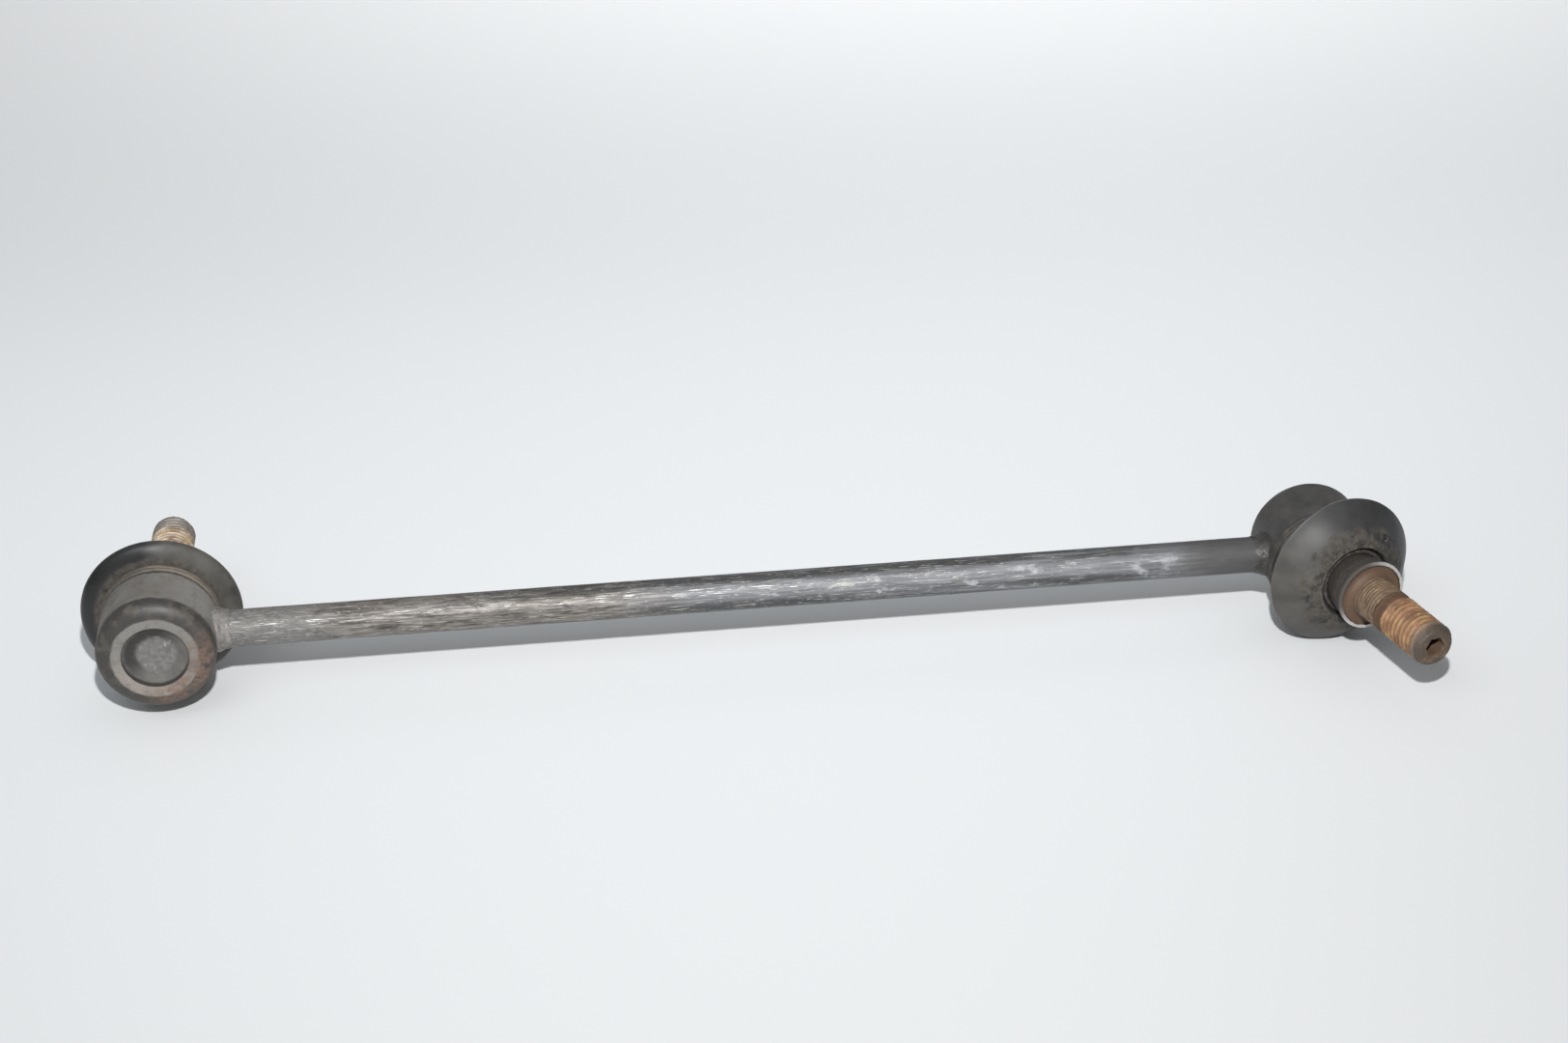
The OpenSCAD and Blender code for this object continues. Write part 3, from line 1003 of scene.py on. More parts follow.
RUBBER_FRONT = Finish(
    "boot_rubber_front", (0.021, 0.021, 0.022), (0.038, 0.038, 0.038), 0.48, 0.0,
    mottle=Patches(0.10, 0.5, 0.2), grain=0.010, grain_scale=2.6,
    layers=(
        # Dusty side
        Layer(*RUBBER_DUST, 0.66, 0.0,
              (Facing(222.0, 85.0, 50.0), Patches(0.07, 0.82, 0.25, seed=8.0)), 0.85),
        # Grime round the small end
        Layer(*GRIME, 0.85, 0.0,
              (axial(18.5, 30.0, 0.6, 3.4, 0.2), Patches(0.24, 0.62, 0.05, seed=2.0)), 0.85, 0.06),
        # Pits in the grime
        Layer((0.010, 0.009, 0.008), (0.024, 0.021, 0.018), 0.8, 0.0,
              (axial(18.3, 30.0, 0.6, 3.0, 0.25), Patches(0.34, 0.34, 0.04, seed=71.0)), 0.75, -0.05),
        # Painted highlight on the upper left edge of the lip, in pale patches
        Layer((0.075, 0.070, 0.062), (0.14, 0.13, 0.116), 0.6, 0.0,
              (radial(10.25, 11.2, 0.15, 0.4, 0.8), axial(20.3, 22.0, 0.15),
               Facing(140.0, 80.0, 30.0), Patches(0.35, 0.66, 0.06, seed=81.0)), 0.8),
        # Dark dirt behind the lip
        Layer(BLACK_DIRT_AND_SHADE, (0.022, 0.019, 0.016), 0.85, 0.0,
              (radial(10.7, 12.4, 0.4, 0.8, 0.5), SMALL_END,
               Patches(0.55, 0.40, 0.05, seed=23.0)), 0.55, -0.08),
        # Brown crumbs on one side
        Layer((0.075, 0.060, 0.045), (0.13, 0.105, 0.080), 0.9, 0.0,
              (radial(10.0, 12.6, 0.4, 0.8, 0.5), SMALL_END,
               Facing(100.0, 50.0, 25.0), Patches(0.5, 0.40, 0.05, seed=37.0)), 0.6, 0.1),
        # Painted shade in the recess round the stud
        Layer(BLACK_DIRT_AND_SHADE, (0.028, 0.024, 0.020), 0.8, 0.0, (radial(7.0, 10.25, 0.2, 0.5, 0.6),), 0.9, 0.05),
        # Rusty crumbs
        Layer((0.10, 0.07, 0.045), (0.17, 0.12, 0.08), 0.9, 0.0,
              (axial(18.0, 30.0, 1.0, 3.0, 0.4), Patches(1.2, 0.14, 0.04, seed=15.0)), 0.55, 0.05),
        # First shiny pip
        Layer(BLACK_DIRT_AND_SHADE, RUBBER_LIGHT, 0.2, 0.0, (Facing(51.0, 4.6, 1.2), radial(12.8, 15.2, 0.2)), 0.97),
        # Second shiny pip
        Layer(BLACK_DIRT_AND_SHADE, RUBBER_LIGHT, 0.3, 0.0, (Facing(226.0, 4.0, 1.5), radial(13.2, 15.4, 0.3)), 0.8),
        SEAM_DUST,
    ))


def stud_finish(name: str, dark: RGB, light: RGB, silver_from: float, silver: float) -> Finish:
    """The stud's finish: dirty collar, bright rim, rusty face, shank and thread.

    Args:
        name: the material's name.
        dark: darker tone of the thread.
        light: lighter tone of the thread.
        silver_from: height above which the thread keeps its grey plating.
        silver: share of the plating that is left there.

    Returns:
        The finish.
    """
    return Finish(
        name, dark, light, 0.64, 0.0, mottle=Patches(0.3, 0.5, 0.2), grain=0.04, grain_scale=2.2,
        layers=(
            # Brown collar and flange
            Layer((0.050, 0.027, 0.016), (0.105, 0.064, 0.040), 0.75, 0.0, (axial(20.0, 28.5, 0.2),), 0.95),
            # Dark side of collar and flange
            Layer((0.018, 0.015, 0.013), (0.052, 0.042, 0.034), 0.7, 0.0,
                  (axial(15.0, 27.9, 0.2, 0.4, 0.7), radial(6.9, 11.0, 0.2)), 0.95, 0.04),
            # Worn grey patches there
            Layer((0.036, 0.033, 0.029), (0.068, 0.063, 0.057), 0.72, 0.0,
                  (axial(23.4, 27.9, 1.0, 2.0, 0.4), COLLAR,
                   Patches(0.7, 0.62, 0.08, (0.5, 0.5, 1.0), 47.0)), 0.8),
            # Pale crumbs on the collar
            Layer((0.075, 0.066, 0.056), (0.13, 0.115, 0.10), 0.85, 0.0,
                  (NEAR_BOOT, COLLAR, Patches(1.1, 0.22, 0.04, seed=53.0)), 0.7, 0.1),
            # Dark crumbs on the collar
            Layer(BLACK_DIRT_AND_SHADE, (0.020, 0.017, 0.014), 0.8, 0.0,
                  (NEAR_BOOT, COLLAR, Patches(0.9, 0.30, 0.05, seed=61.0)), 0.75, -0.08),
            # Bright bearing rim
            Layer((0.36, 0.355, 0.345), (0.60, 0.60, 0.59), 0.42, 0.3,
                  (axial(28.0, 29.0, 0.1, 0.5, 0.7), radial(8.95, 11.0, 0.1, 0.7, 0.7)), 0.95),
            # Dull stretch of the rim
            Layer((0.038, 0.030, 0.024), (0.086, 0.072, 0.060), 0.7, 0.1,
                  (RIM_FACE, radial(8.4, 11.0, 0.12), Facing(146.0, 60.0, 24.0)), 0.96),
            # Rust spots on the rim
            Layer((0.05, 0.036, 0.026), (0.12, 0.085, 0.06), 0.75, 0.0,
                  (RIM_FACE, radial(8.6, 11.0, 0.1), Patches(0.8, 0.20, 0.04)), 0.8),
            # Rusty hollow face
            Layer((0.078, 0.043, 0.026), (0.135, 0.082, 0.050), 0.62, 0.0,
                  (axial(27.3, 31.0, 0.3, 1.0, 0.5), radial(5.0, 8.72, 0.08, 0.2, 0.8)), 0.97),
            # Brown shank
            Layer((0.090, 0.058, 0.036), (0.185, 0.13, 0.085), 0.62, 0.1,
                  (axial(29.6, 38.8, 0.5, 1.0, 0.5),
                   Patches(0.9, 0.76, 0.06, (0.22, 0.22, 1.6), 5.0)), 0.9),
            # Dark rings of the shank
            Layer((0.040, 0.022, 0.013), (0.075, 0.044, 0.027), 0.8, 0.0,
                  (axial(30.2, 38.8, 0.5), Patches(1.0, 0.30, 0.05, (0.3, 0.3, 1.5), 91.0)), 0.75, -0.05),
            # Bright specks on its ridges
            Layer((0.30, 0.265, 0.22), (0.42, 0.38, 0.32), 0.5, 0.3,
                  (axial(30.6, 39.0, 0.4), Patches(1.3, 0.2, 0.04, (0.3, 0.3, 1.8), 55.0)), 0.6),
            # Dark run-out groove
            Layer((0.040, 0.019, 0.011), (0.085, 0.045, 0.025), 0.85, 0.0,
                  (axial(38.3, 41.9, 0.4, 1.8, 0.45),), 0.92, 0.03),
            # Roots of the thread
            Layer((0.075, 0.040, 0.023), (0.150, 0.085, 0.048), 0.8, 0.0,
                  (axial(42.0, 60.0, 0.3), radial(4.4, 5.6, 0.14, 0.3, 0.6)), 0.62),
            # Red rust on one side
            Layer((0.24, 0.105, 0.058), (0.37, 0.185, 0.105), 0.7, 0.0,
                  (axial(41.4, 55.0, 0.6, 2.0, 0.3), Facing(112.0, 52.0, 34.0),
                   Patches(0.32, 0.48, 0.08, seed=33.0)), 0.6),
            # Dark rust patches
            Layer((0.10, 0.050, 0.027), (0.17, 0.092, 0.05), 0.8, 0.0,
                  (axial(40.0, 60.0, 0.5), Patches(0.26, 0.38, 0.08, seed=27.0)), 0.75),
            # Yellow crests
            Layer((0.30, 0.20, 0.085), (0.46, 0.33, 0.15), 0.6, 0.1,
                  (axial(42.0, 56.0, 0.5), radial(5.5, 6.5, 0.15),
                   Patches(0.3, 0.30, 0.06, (1.0, 1.0, 0.6), 63.0)), 0.7),
            # Grey plating near the tip
            Layer((0.085, 0.080, 0.073), (0.20, 0.19, 0.175), 0.45, 0.4,
                  (axial(silver_from, 60.0, 1.2, 3.0, 0.25), radial(5.3, 6.5, 0.15)), silver),
            # Dark tip
            Layer((0.036, 0.028, 0.021), (0.078, 0.062, 0.048), 0.6, 0.1,
                  (axial(56.7, 60.0, 0.4, 0.9, 0.6),), 0.93),
            # Rust on the tip
            Layer(*RUST, 0.85, 0.0, (axial(57.5, 60.0, 0.3), Patches(0.4, 0.28, 0.06, seed=17.0)), 0.55),
            # Rusty socket
            Layer((0.050, 0.030, 0.019), (0.13, 0.080, 0.048), 0.7, 0.0,
                  (SOCKET, axial(50.0, 58.6, 0.1)), 0.95),
            # Painted shade at the bottom of the socket
            Layer(BLACK_DIRT_AND_SHADE, (0.018, 0.012, 0.008), 0.8, 0.0,
                  (SOCKET, axial(50.0, 54.0, 0.7, 1.0, 0.6)), 0.97),
            # Rust inside the socket
            Layer(RUST[0], (0.35, 0.2, 0.11), 0.7, 0.0,
                  (SOCKET, Patches(0.55, 0.28, 0.05, seed=40.0)), 0.6),
        ))


STUD_RUSTY = stud_finish("stud_rusty_steel", (0.20, 0.103, 0.044), (0.385, 0.225, 0.106), 55.0, 0.6)
STUD_PLATED = stud_finish("stud_worn_plating", (0.36, 0.28, 0.20), (0.62, 0.52, 0.40), 51.5, 0.85)


def dress(obj: bpy.types.Object, finish: Finish, body: Optional[str],
          nodes: Sequence[str]) -> None:
    """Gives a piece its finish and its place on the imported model.

    Args:
        obj: the piece.
        finish: what it is finished in.
        body: the body that it rides on, or None where it bends between two.
        nodes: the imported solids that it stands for.
    """
    obj.data.materials.append(finish.material())
    if body is not None:
        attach(obj, body)
    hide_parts(*nodes)
    LOG.info("%s: %d points, %s", obj.name, len(obj.data.vertices), finish.name)


def unswung(points: np.ndarray) -> np.ndarray:
    """Gives no part of the stud's swing, for pieces that stay with the rod."""
    return np.zeros(len(points))


# Sub-assemblies


@dataclass
class LinkRod:
    """The round bar and the welds that join it to the housings."""

    radius: float = 5.0
    end_inset: float = 13.2
    wear: float = 0.03
    wear_stretch: Vec = (1.0, 1.0, 0.2)
    housing_radius: float = HOUSING_RADIUS
    weld_height: float = 1.0
    weld_length: float = 3.4
    weld_root: float = 0.2
    weld_overlap: float = 2.0
    weld_heel: float = 0.25
    weld_taper: Points = ((0.72, 0.22), (0.42, 0.5), (0.18, 0.8))
    weld_toe: float = 0.06
    weld_ripple: float = 0.16

    def rod(self) -> None:
        """Builds the bar, a little worn all over."""
        reach = HALF_SPAN - self.end_inset
        profile = refine([(self.radius, -reach), (self.radius, reach)], 1.2)
        bar = Turned("worn_link_rod", Place(), 64).spin([(0.0, -reach)] + profile + [(0.0, reach)])
        stretch = np.array(self.wear_stretch)
        bar.roughen(lambda p: self.wear * uneven(p * stretch, 0.5, 3) - self.wear)
        dress(bar.build(), ROD_STEEL, "link", ["link_rod"])

    def weld(self, end: End) -> None:
        """Builds the flared weld at one end.

        Args:
            end: which end it is on.
        """
        side = -1 if end is End.LEFT else 1
        r, h, out, length = self.radius, self.weld_height, self.housing_radius, self.weld_length
        root, low = r - self.weld_root, out - self.weld_overlap
        outline = [(root, low), (r + h, low), (r + h, out + self.weld_heel)]
        outline += [(r + h * rise, out + length * run) for rise, run in self.weld_taper]
        outline = refine(fillet(outline + [(r - self.weld_toe, out + length)], 0.5), 0.35)
        outline += [(root, out + length)]
        bead = Turned(f"{end.value}_weld_fillet", Place(), 96, True)
        bead.spin([(a, side * (HALF_SPAN - b)) for a, b in outline])
        bead.roughen(lambda p: np.where(from_axis(p) > r - 0.05, self.weld_ripple * uneven(p, 0.6, 4), 0.0))
        finish = WELD_STEEL if end is End.LEFT else WELD_COATED
        dress(bead.build(), finish, "link", [f"{end.value}_weld_bead"])


@dataclass
class EndPiece:
    """A sub-assembly at one end of the rod."""

    place: EndPlace

    @property
    def tag(self) -> str:
        """The end's name."""
        return self.place.end.value

    def pick(self, left: Finish, right: Finish) -> Finish:
        """Chooses between the finishes of the two ends."""
        return left if self.place.end is End.LEFT else right


@dataclass
class HousingShell(EndPiece):
    """A housing with its closing plate and the wire clamp round the boot's bead."""

    radius: float = HOUSING_RADIUS
    back: float = -13.2
    back_edge: float = 11.2
    back_centre: float = -9.9
    back_rounding: tuple[float, float] = (4.3, 3.3)
    wall_low: float = -9.7
    bore: float = 11.0
    lip: float = 8.6
    lip_depth: float = 1.2
    shoulder: float = 6.2
    groove: float = 12.65
    groove_low: float = 6.3
    groove_high: float = 9.204
    top: float = 10.004
    flange: float = 13.35
    mouth: float = 11.6
    throat: float = 9.447
    throat_high: float = 4.3
    throat_low: float = 4.0
    seat_edge: float = 10.247
    seat_turn: float = 21.3
    wall_wear: float = 0.05
    rim_wear: float = 0.16
    dish_depth: float = 2.2
    dish_radius: float = 5.5
    dish_edge: float = 7.95
    plate_lip: float = 8.7
    plate_gauge: float = 1.4
    clamp_radius: float = 15.23
    clamp_low: float = 7.08
    clamp_pitch: float = 1.344
    clamp_turns: tuple[float, float] = (40.0, 680.0)
    clamp_climb: tuple[float, float] = (320.0, 400.0)
    wire: float = 0.7

    def shell(self) -> None:
        """Builds the housing's wall."""
        lip_low = self.back + self.lip_depth
        outside = fillet([(self.lip, lip_low), (self.lip, self.back), (self.back_edge, self.back)], 0.35)
        outside += arc((self.back_edge, self.back_centre), self.back_rounding, -86, 0, 14)
        rim = fillet([(self.radius, self.wall_low), (self.radius, self.shoulder),
                      (self.groove, self.groove_low)], 0.45)
        mouth = fillet([(self.groove, self.groove_low), (self.groove, self.groove_high),
                        (self.flange, self.groove_high), (self.flange, self.top), (self.mouth, self.top),
                        (self.throat, self.throat_high), (self.throat, self.throat_low),
                        (self.seat_edge, self.throat_low)], 0.2)
        inside = arc((0.0, 0.0), (self.bore, self.bore), self.seat_turn, 0, 6) + [(self.bore, lip_low)]
        profile = refine(outside + rim + mouth[1:] + inside, 0.8)
        shell = Turned(f"{self.tag}_housing_shell", self.place, 128, True).spin(profile)
        obj = shell.roughen(self.wear).build(unswung)
        finish = self.pick(HOUSING_DUSTY, HOUSING_COATED)
        dress(obj, finish, "link", [f"{self.tag}_housing"])

    def wear(self, p: np.ndarray) -> np.ndarray:
        """Uneven wall outside, ragged rim at the shoulder, true bore.

        Args:
            p: places to read, in millimetres, on the piece's own axis.

        Returns:
            The move of each point away from the axis.
        """
        z = p[:, 2]
        outer = smooth_step(from_axis(p), 12.2, 14.0)
        ragged = smooth_step(z, 5.0, 5.8) * (1 - smooth_step(z, 6.3, 6.5)) * outer
        wall = outer * self.wall_wear * (uneven(p, 0.18, 3) - 0.6)
        return wall + ragged * self.rim_wear * (uneven(p, 1.1, 2) - 0.5)

    def plate(self) -> None:
        """Builds the dished plate under the rolled lip."""
        outer, dish, gauge = self.back + self.lip_depth, self.back + self.dish_depth, self.plate_gauge
        outline = [(0.0, dish), (self.dish_radius, dish), (self.dish_edge, outer + 0.12),
                   (self.plate_lip, outer), (self.bore, outer), (self.bore, outer + gauge),
                   (7.6, outer + gauge), (5.0, dish + gauge), (0.0, dish + gauge)]
        profile = refine(fillet(outline, 0.7, 4), 0.5)
        plate = Turned(f"{self.tag}_dished_plate", self.place, 96).spin(profile)
        finish = self.pick(PLATE_SCUFFED, PLATE_COATED)
        dress(plate.build(unswung), finish, "link", [f"{self.tag}_closing_plate"])

    def clamp(self) -> None:
        """Builds the two turns of clamp wire, with a step between them."""
        turn = np.radians(np.linspace(*self.clamp_turns, 260))
        low, high = (math.radians(a) for a in self.clamp_climb)
        climb = smooth_step(turn, low, high) * self.clamp_pitch
        around = turn + math.radians(90.0 if self.place.end is End.LEFT else 270.0)
        path = np.stack([self.clamp_radius * np.cos(around), self.clamp_radius * np.sin(around),
                         self.clamp_low + climb], 1)
        wire = tube(f"{self.tag}_clamp_wire", self.place, path, self.wire)
        finish = self.pick(CLAMP_WIRE, CLAMP_DIRTY)
        dress(wire, finish, "link", [f"{self.tag}_boot_clamp"])

    def seat(self) -> None:
        """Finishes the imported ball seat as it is."""
        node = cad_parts[f"{self.tag}_ball_seat"]
        node.data.materials.clear()
        node.data.materials.append(SEAT_PLASTIC.material())
        LOG.info("%s: packed solid, %s", node.name, SEAT_PLASTIC.name)


@dataclass
class DustBoot(EndPiece):
    """The rubber boot in two halves that meet at its parting line, and the ring at its small end."""

    crest_radius: float = 21.2
    crest: float = 12.2
    crest_inner: float = 19.3
    bead_radius: float = 14.5
    bead_low: float = 6.33
    bead_high: float = 9.174
    bead_inner: float = 12.68
    flare_gap: float = 0.7
    flare_inside: Points = ((17.5, 11.33), (15.2, 10.83), (13.75, 10.53), (13.38, 10.03))
    dome_centre: tuple[float, float] = (2.6, 1.0)
    dome_radius: float = 21.712
    dome_from: float = 31.06
    dome_to: float = 66.38
    wall: float = 1.5
    lip_height: float = 20.89
    lip_points: Points = ((11.05, 0.12), (10.6, 0.05), (10.3, -0.25))
    recess_floor: float = 18.69
    recess: float = 9.98
    sleeve: float = 8.23
    sleeve_inner: float = 7.43
    sleeve_top: float = 20.19
    sleeve_low: float = 17.19
    ring_radius: float = 8.86
    ring_height: float = 19.32
    ring_wire: float = 0.6
    parting: float = 0.09
    parting_width: float = 0.08
    swell: float = 0.06
    dome_swell: float = 0.05
    crumb_scale: float = 0.75
    crumb_out: float = 0.20
    crumb_up: float = 0.25
    pips: tuple[Vec, ...] = ((51.0, 14.0, 0.75), (226.0, 14.3, 0.65))
    pip_radius: float = 1.2

    def share(self, points: np.ndarray) -> np.ndarray:
        """Part of the stud's swing that points of the back half follow."""
        return smooth_step(from_axis(points), self.bead_radius + 0.5, self.crest_radius - 1.5)

    def back_half(self) -> None:
        """Builds the clamped bead and the flared back, up to the parting line."""
        edge = self.crest_radius + self.parting
        reach = (self.crest_radius - self.bead_radius - self.flare_gap, self.crest - self.bead_high)
        outline = [(self.bead_inner, self.bead_low), (self.bead_radius, self.bead_low),
                   (self.bead_radius, self.bead_high)]
        outline += arc((self.bead_radius + self.flare_gap, self.crest), reach, -90, -7, 16)
        outline += [(edge, self.crest - self.parting_width), (edge, self.crest),
                    (self.crest_inner, self.crest), *self.flare_inside,
                    (self.flare_inside[-1][0], self.bead_high), (self.bead_inner, self.bead_high)]
        half = Turned(f"{self.tag}_boot_back", self.place, 120, True).spin(refine(outline, 0.7))
        half.roughen(lambda p: self.swell * smooth_step(from_axis(p), 15.5, 18.0) * uneven(p, 0.12, 2))
        obj = half.build(self.share)
        dress(obj, RUBBER_BACK, None, [f"{self.tag}_dust_boot"])
        self.place.axis_point(self.bead_high + 0.1)
        self.place.axis_point(self.crest)
        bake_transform(obj)

    def dome(self, p: np.ndarray) -> np.ndarray:
        """One on the outer skin of the dome, nought elsewhere.

        Args:
            p: places to read, in millimetres, on the piece's own axis.

        Returns:
            A share for each point.
        """
        r, z = from_axis(p), p[:, 2]
        away = np.hypot(r - self.dome_centre[0], z - self.dome_centre[1])
        skin = away > self.dome_radius - self.wall + self.wall / 2
        outer = smooth_step(r, self.sleeve + 0.3, self.sleeve + 0.8)
        return skin * outer * smooth_step(z, self.crest + 0.3, self.crest + 2.0)

    def crumbs(self, p: np.ndarray, low: float) -> np.ndarray:
        """Crumbs of dirt round the small end.

        Args:
            p: places to read, in millimetres.
            low: height where they begin.

        Returns:
            Their size at each place, 0 to about 1.
        """
        return smooth_step(p[:, 2], low, 20.0) * np.maximum(uneven(p, self.crumb_scale, 3), 0)

    def mould(self, p: np.ndarray) -> np.ndarray:
        """Soft unevenness of the dome, and crumbs that stand out from it."""
        swell = self.dome_swell * uneven(p, 0.12, 2)
        return self.dome(p) * (swell + self.crumb_out * self.crumbs(p, 17.4))

    def bumps(self, p: np.ndarray) -> np.ndarray:
        """Moulding pips, and crumbs that stand up from the lip.

        Args:
            p: places to read, in millimetres, on the piece's own axis.

        Returns:
            The move of each point along the axis.
        """
        move = self.crumb_up * self.crumbs(p, 18.0)
        for angle, radius, height in self.pips:
            a = math.radians(angle)
            away = np.hypot(p[:, 0] - radius * math.cos(a), p[:, 1] - radius * math.sin(a))
            move = move + height * (1 - smooth_step(away, 0.0, self.pip_radius))
        return self.dome(p) * move

    def front_half(self) -> None:
        """Builds the dome, the lip round its recess, and the sleeve on the stud."""
        edge, inner = self.crest_radius + self.parting, self.dome_radius - self.wall
        outline = [(self.crest_inner, self.crest), (edge, self.crest),
                   (edge, self.crest + self.parting_width)]
        outline += arc(self.dome_centre, (self.dome_radius, self.dome_radius), self.dome_from + 0.6,
                       self.dome_to, 40)
        outline += [(r, self.lip_height + rise) for r, rise in self.lip_points]
        outline += [(self.recess + 0.1, self.lip_height - 0.6), (self.recess, self.recess_floor + 0.3),
                    (self.recess - 0.2, self.recess_floor), (self.sleeve, self.recess_floor),
                    (self.sleeve, self.sleeve_top), (self.sleeve_inner, self.sleeve_top),
                    (self.sleeve_inner, self.sleeve_low), (self.sleeve_inner + 1.1, self.sleeve_low)]
        outline += arc(self.dome_centre, (inner, inner), self.dome_to - 2, self.dome_from + 4, 14)
        half = Turned(f"{self.tag}_boot_front", self.place, 288, True).spin(refine(outline, 0.36))
        obj = half.roughen(self.mould).lift(self.bumps).build()
        dress(obj, RUBBER_FRONT, None, [f"{self.tag}_dust_boot"])
        self.place.axis_point(self.crest)
        self.place.axis_point(self.lip_height)
        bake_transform(obj)

    def neck_ring(self) -> None:
        """Builds the wire ring in the recess."""
        profile = arc((self.ring_radius, self.ring_height), (self.ring_wire, self.ring_wire), 0, 330, 11)
        ring = Turned(f"{self.tag}_neck_wire", self.place, 96, True).spin(profile)
        ring.roughen(lambda p: 0.04 * uneven(p, 0.9, 2))
        dress(ring.build(), RING_WIRE, f"{self.tag}_neck", [f"{self.tag}_neck_ring"])


@dataclass
class BallStud(EndPiece):
    """The ball stud with its collar, hollow-faced flange, threaded shank and socket."""

    segments: int = 96
    ball: float = 9.0
    foot: float = 0.5
    neck: float = 4.75
    neck_low: float = 7.7
    neck_top: float = 14.19
    stop: float = 7.9
    seat: float = 7.4
    seat_low: float = 17.16
    seat_high: float = 20.22
    collar: float = 8.3
    flange: float = 9.8
    face: float = 28.5
    rim: float = 0.9
    hollow: float = 27.7
    root: float = 2.0
    ridge: float = 0.10
    ridge_pitch: float = 1.1
    ridge_step: float = 0.12
    thread: float = 6.0
    pitch: float = 1.75
    depth: float = 0.92
    groove: float = 5.6
    groove_length: float = 3.2
    thread_start: float = 42.0
    tip: float = 58.8
    chamfer: float = 1.3
    socket_flats: float = 5.0
    socket_depth: float = 6.0
    step: float = 0.11
    crumb: float = 0.18
    collar_pits: float = 0.035
    shank_pits: float = 0.075

    def thread_radius(self, turn: np.ndarray, height: float) -> np.ndarray:
        """Radius of the thread round the shank.

        Args:
            turn: angles round the axis, in radians.
            height: distance from the ball centre.

        Returns:
            One radius per angle.
        """
        phase = (height / self.pitch - turn / (2 * math.pi)) % 1.0
        away = np.abs(phase - 0.5) * self.pitch
        cut = smooth_step(away, self.pitch / 16, self.pitch * 0.44)
        fade = float(smooth_step(np.array(height), self.thread_start - 0.3, self.thread_start + 1.6))
        return self.thread - self.depth * cut * fade

    def socket_radius(self, turn: np.ndarray) -> np.ndarray:
        """Radius of the hexagon socket round the axis."""
        return self.socket_flats / 2 / np.cos(np.mod(turn, math.pi / 3) - math.pi / 6)

    def forging(self) -> Profile:
        """Outline from the foot of the ball to the root of the shank.

        Returns:
            Radius and height of its points.
        """
        flat = -self.ball + self.foot
        foot = math.degrees(math.asin(flat / self.ball))
        top = math.degrees(math.acos(self.neck / self.ball))
        body = [(0.0, flat)] + arc((0.0, 0.0), (self.ball, self.ball), foot, top, 20)
        corners = [
            (self.neck, self.neck_low), (self.neck, self.neck_top), (self.neck + 0.5, self.neck_top + 0.9),
            (self.stop, self.neck_top + 2.4), (self.stop, self.seat_low - 0.2), (self.seat, self.seat_low),
            (self.seat, self.seat_high), (self.collar, self.seat_high),
            (self.collar + 0.1, self.seat_high + 1), (self.flange - 0.5, self.face - 2.4),
            (self.flange, self.face - 1.1), (self.flange, self.face), (self.flange - self.rim, self.face),
            (self.flange - self.rim - 0.2, self.hollow), (self.thread + self.root, self.hollow)]
        body += refine(fillet(corners, 0.2), 0.4)
        centre = (self.thread + self.root, self.hollow + self.root)
        return body + arc(centre, (self.root, self.root), 270, 180, 10)[1:]

    def add_shank(self, stud: Turned) -> None:
        """Adds the finely ridged shank and the run-out groove to a stud.

        Args:
            stud: the piece so far.
        """
        low, high = self.hollow + self.root, self.thread_start - self.groove_length
        for z in np.arange(low + 0.1, high - 0.1, self.ridge_step):
            ridge = self.ridge * (1 - math.cos(2 * math.pi * (z - low) / self.ridge_pitch))
            stud.ring(self.thread - ridge, z)
        groove = [(self.thread, high), (self.groove, high + 0.6), (self.groove, self.thread_start - 1.0)]
        stud.spin(refine(fillet(groove, 0.2), 0.3))

    def add_thread(self, stud: Turned) -> None:
        """Adds the thread to a stud, up to its chamfered tip.

        Args:
            stud: the piece so far.
        """
        turn, start, bevel = stud.turns(), self.thread_start - 0.9, self.tip - self.chamfer
        for z in np.arange(start, self.tip, self.step):
            limit = min(self.thread, self.groove + max(0.0, z - start), self.thread - max(0.0, z - bevel))
            stud.ring(np.minimum(self.thread_radius(turn, z), limit), z)

    def add_socket(self, stud: Turned) -> None:
        """Adds the hexagon socket, with its worn edge, to a stud.

        Args:
            stud: the piece so far.
        """
        turn = stud.turns()
        hexagon = self.socket_radius(turn)
        around = np.stack([np.cos(turn), np.sin(turn), np.zeros(self.segments)], 1)
        worn = hexagon + 0.25 + 0.45 * np.maximum(uneven(around, 1.3, 3), -0.3)
        edge = self.thread - self.chamfer
        for share in (0.0, 0.33, 0.66):
            stud.ring(edge * (1 - share) + worn * share, self.tip)
        stud.ring(worn, self.tip - 0.05)
        for drop in np.linspace(0.25, self.socket_depth, 14):
            stud.ring(hexagon, self.tip - drop)
        stud.ring(hexagon * 0.5, self.tip - self.socket_depth - 0.4)
        stud.spin([(0.0, self.tip - self.socket_depth - 0.6)])

    def corrode(self, p: np.ndarray) -> np.ndarray:
        """Crumbs on the collar and pitting outside the boot, most of it on the thread; true ball.

        Args:
            p: places to read, in millimetres, on the piece's own axis.

        Returns:
            The move of each point away from the axis.
        """
        z = p[:, 2]
        outside = smooth_step(z, self.seat_high, self.seat_high + 1)
        shank = smooth_step(z, self.face, self.face + 1)
        dirt = smooth_step(z, 20.6, 21.2) * (1 - smooth_step(z, 23.0, 24.6))
        crumbs = self.crumb * dirt * np.maximum(uneven(p, 0.8, 3), 0)
        collar_pits = outside * (self.collar_pits * uneven(p, 0.9, 3) - 0.02)
        return crumbs + collar_pits + shank * (self.shank_pits * uneven(p, 1.4, 3) - 0.05)

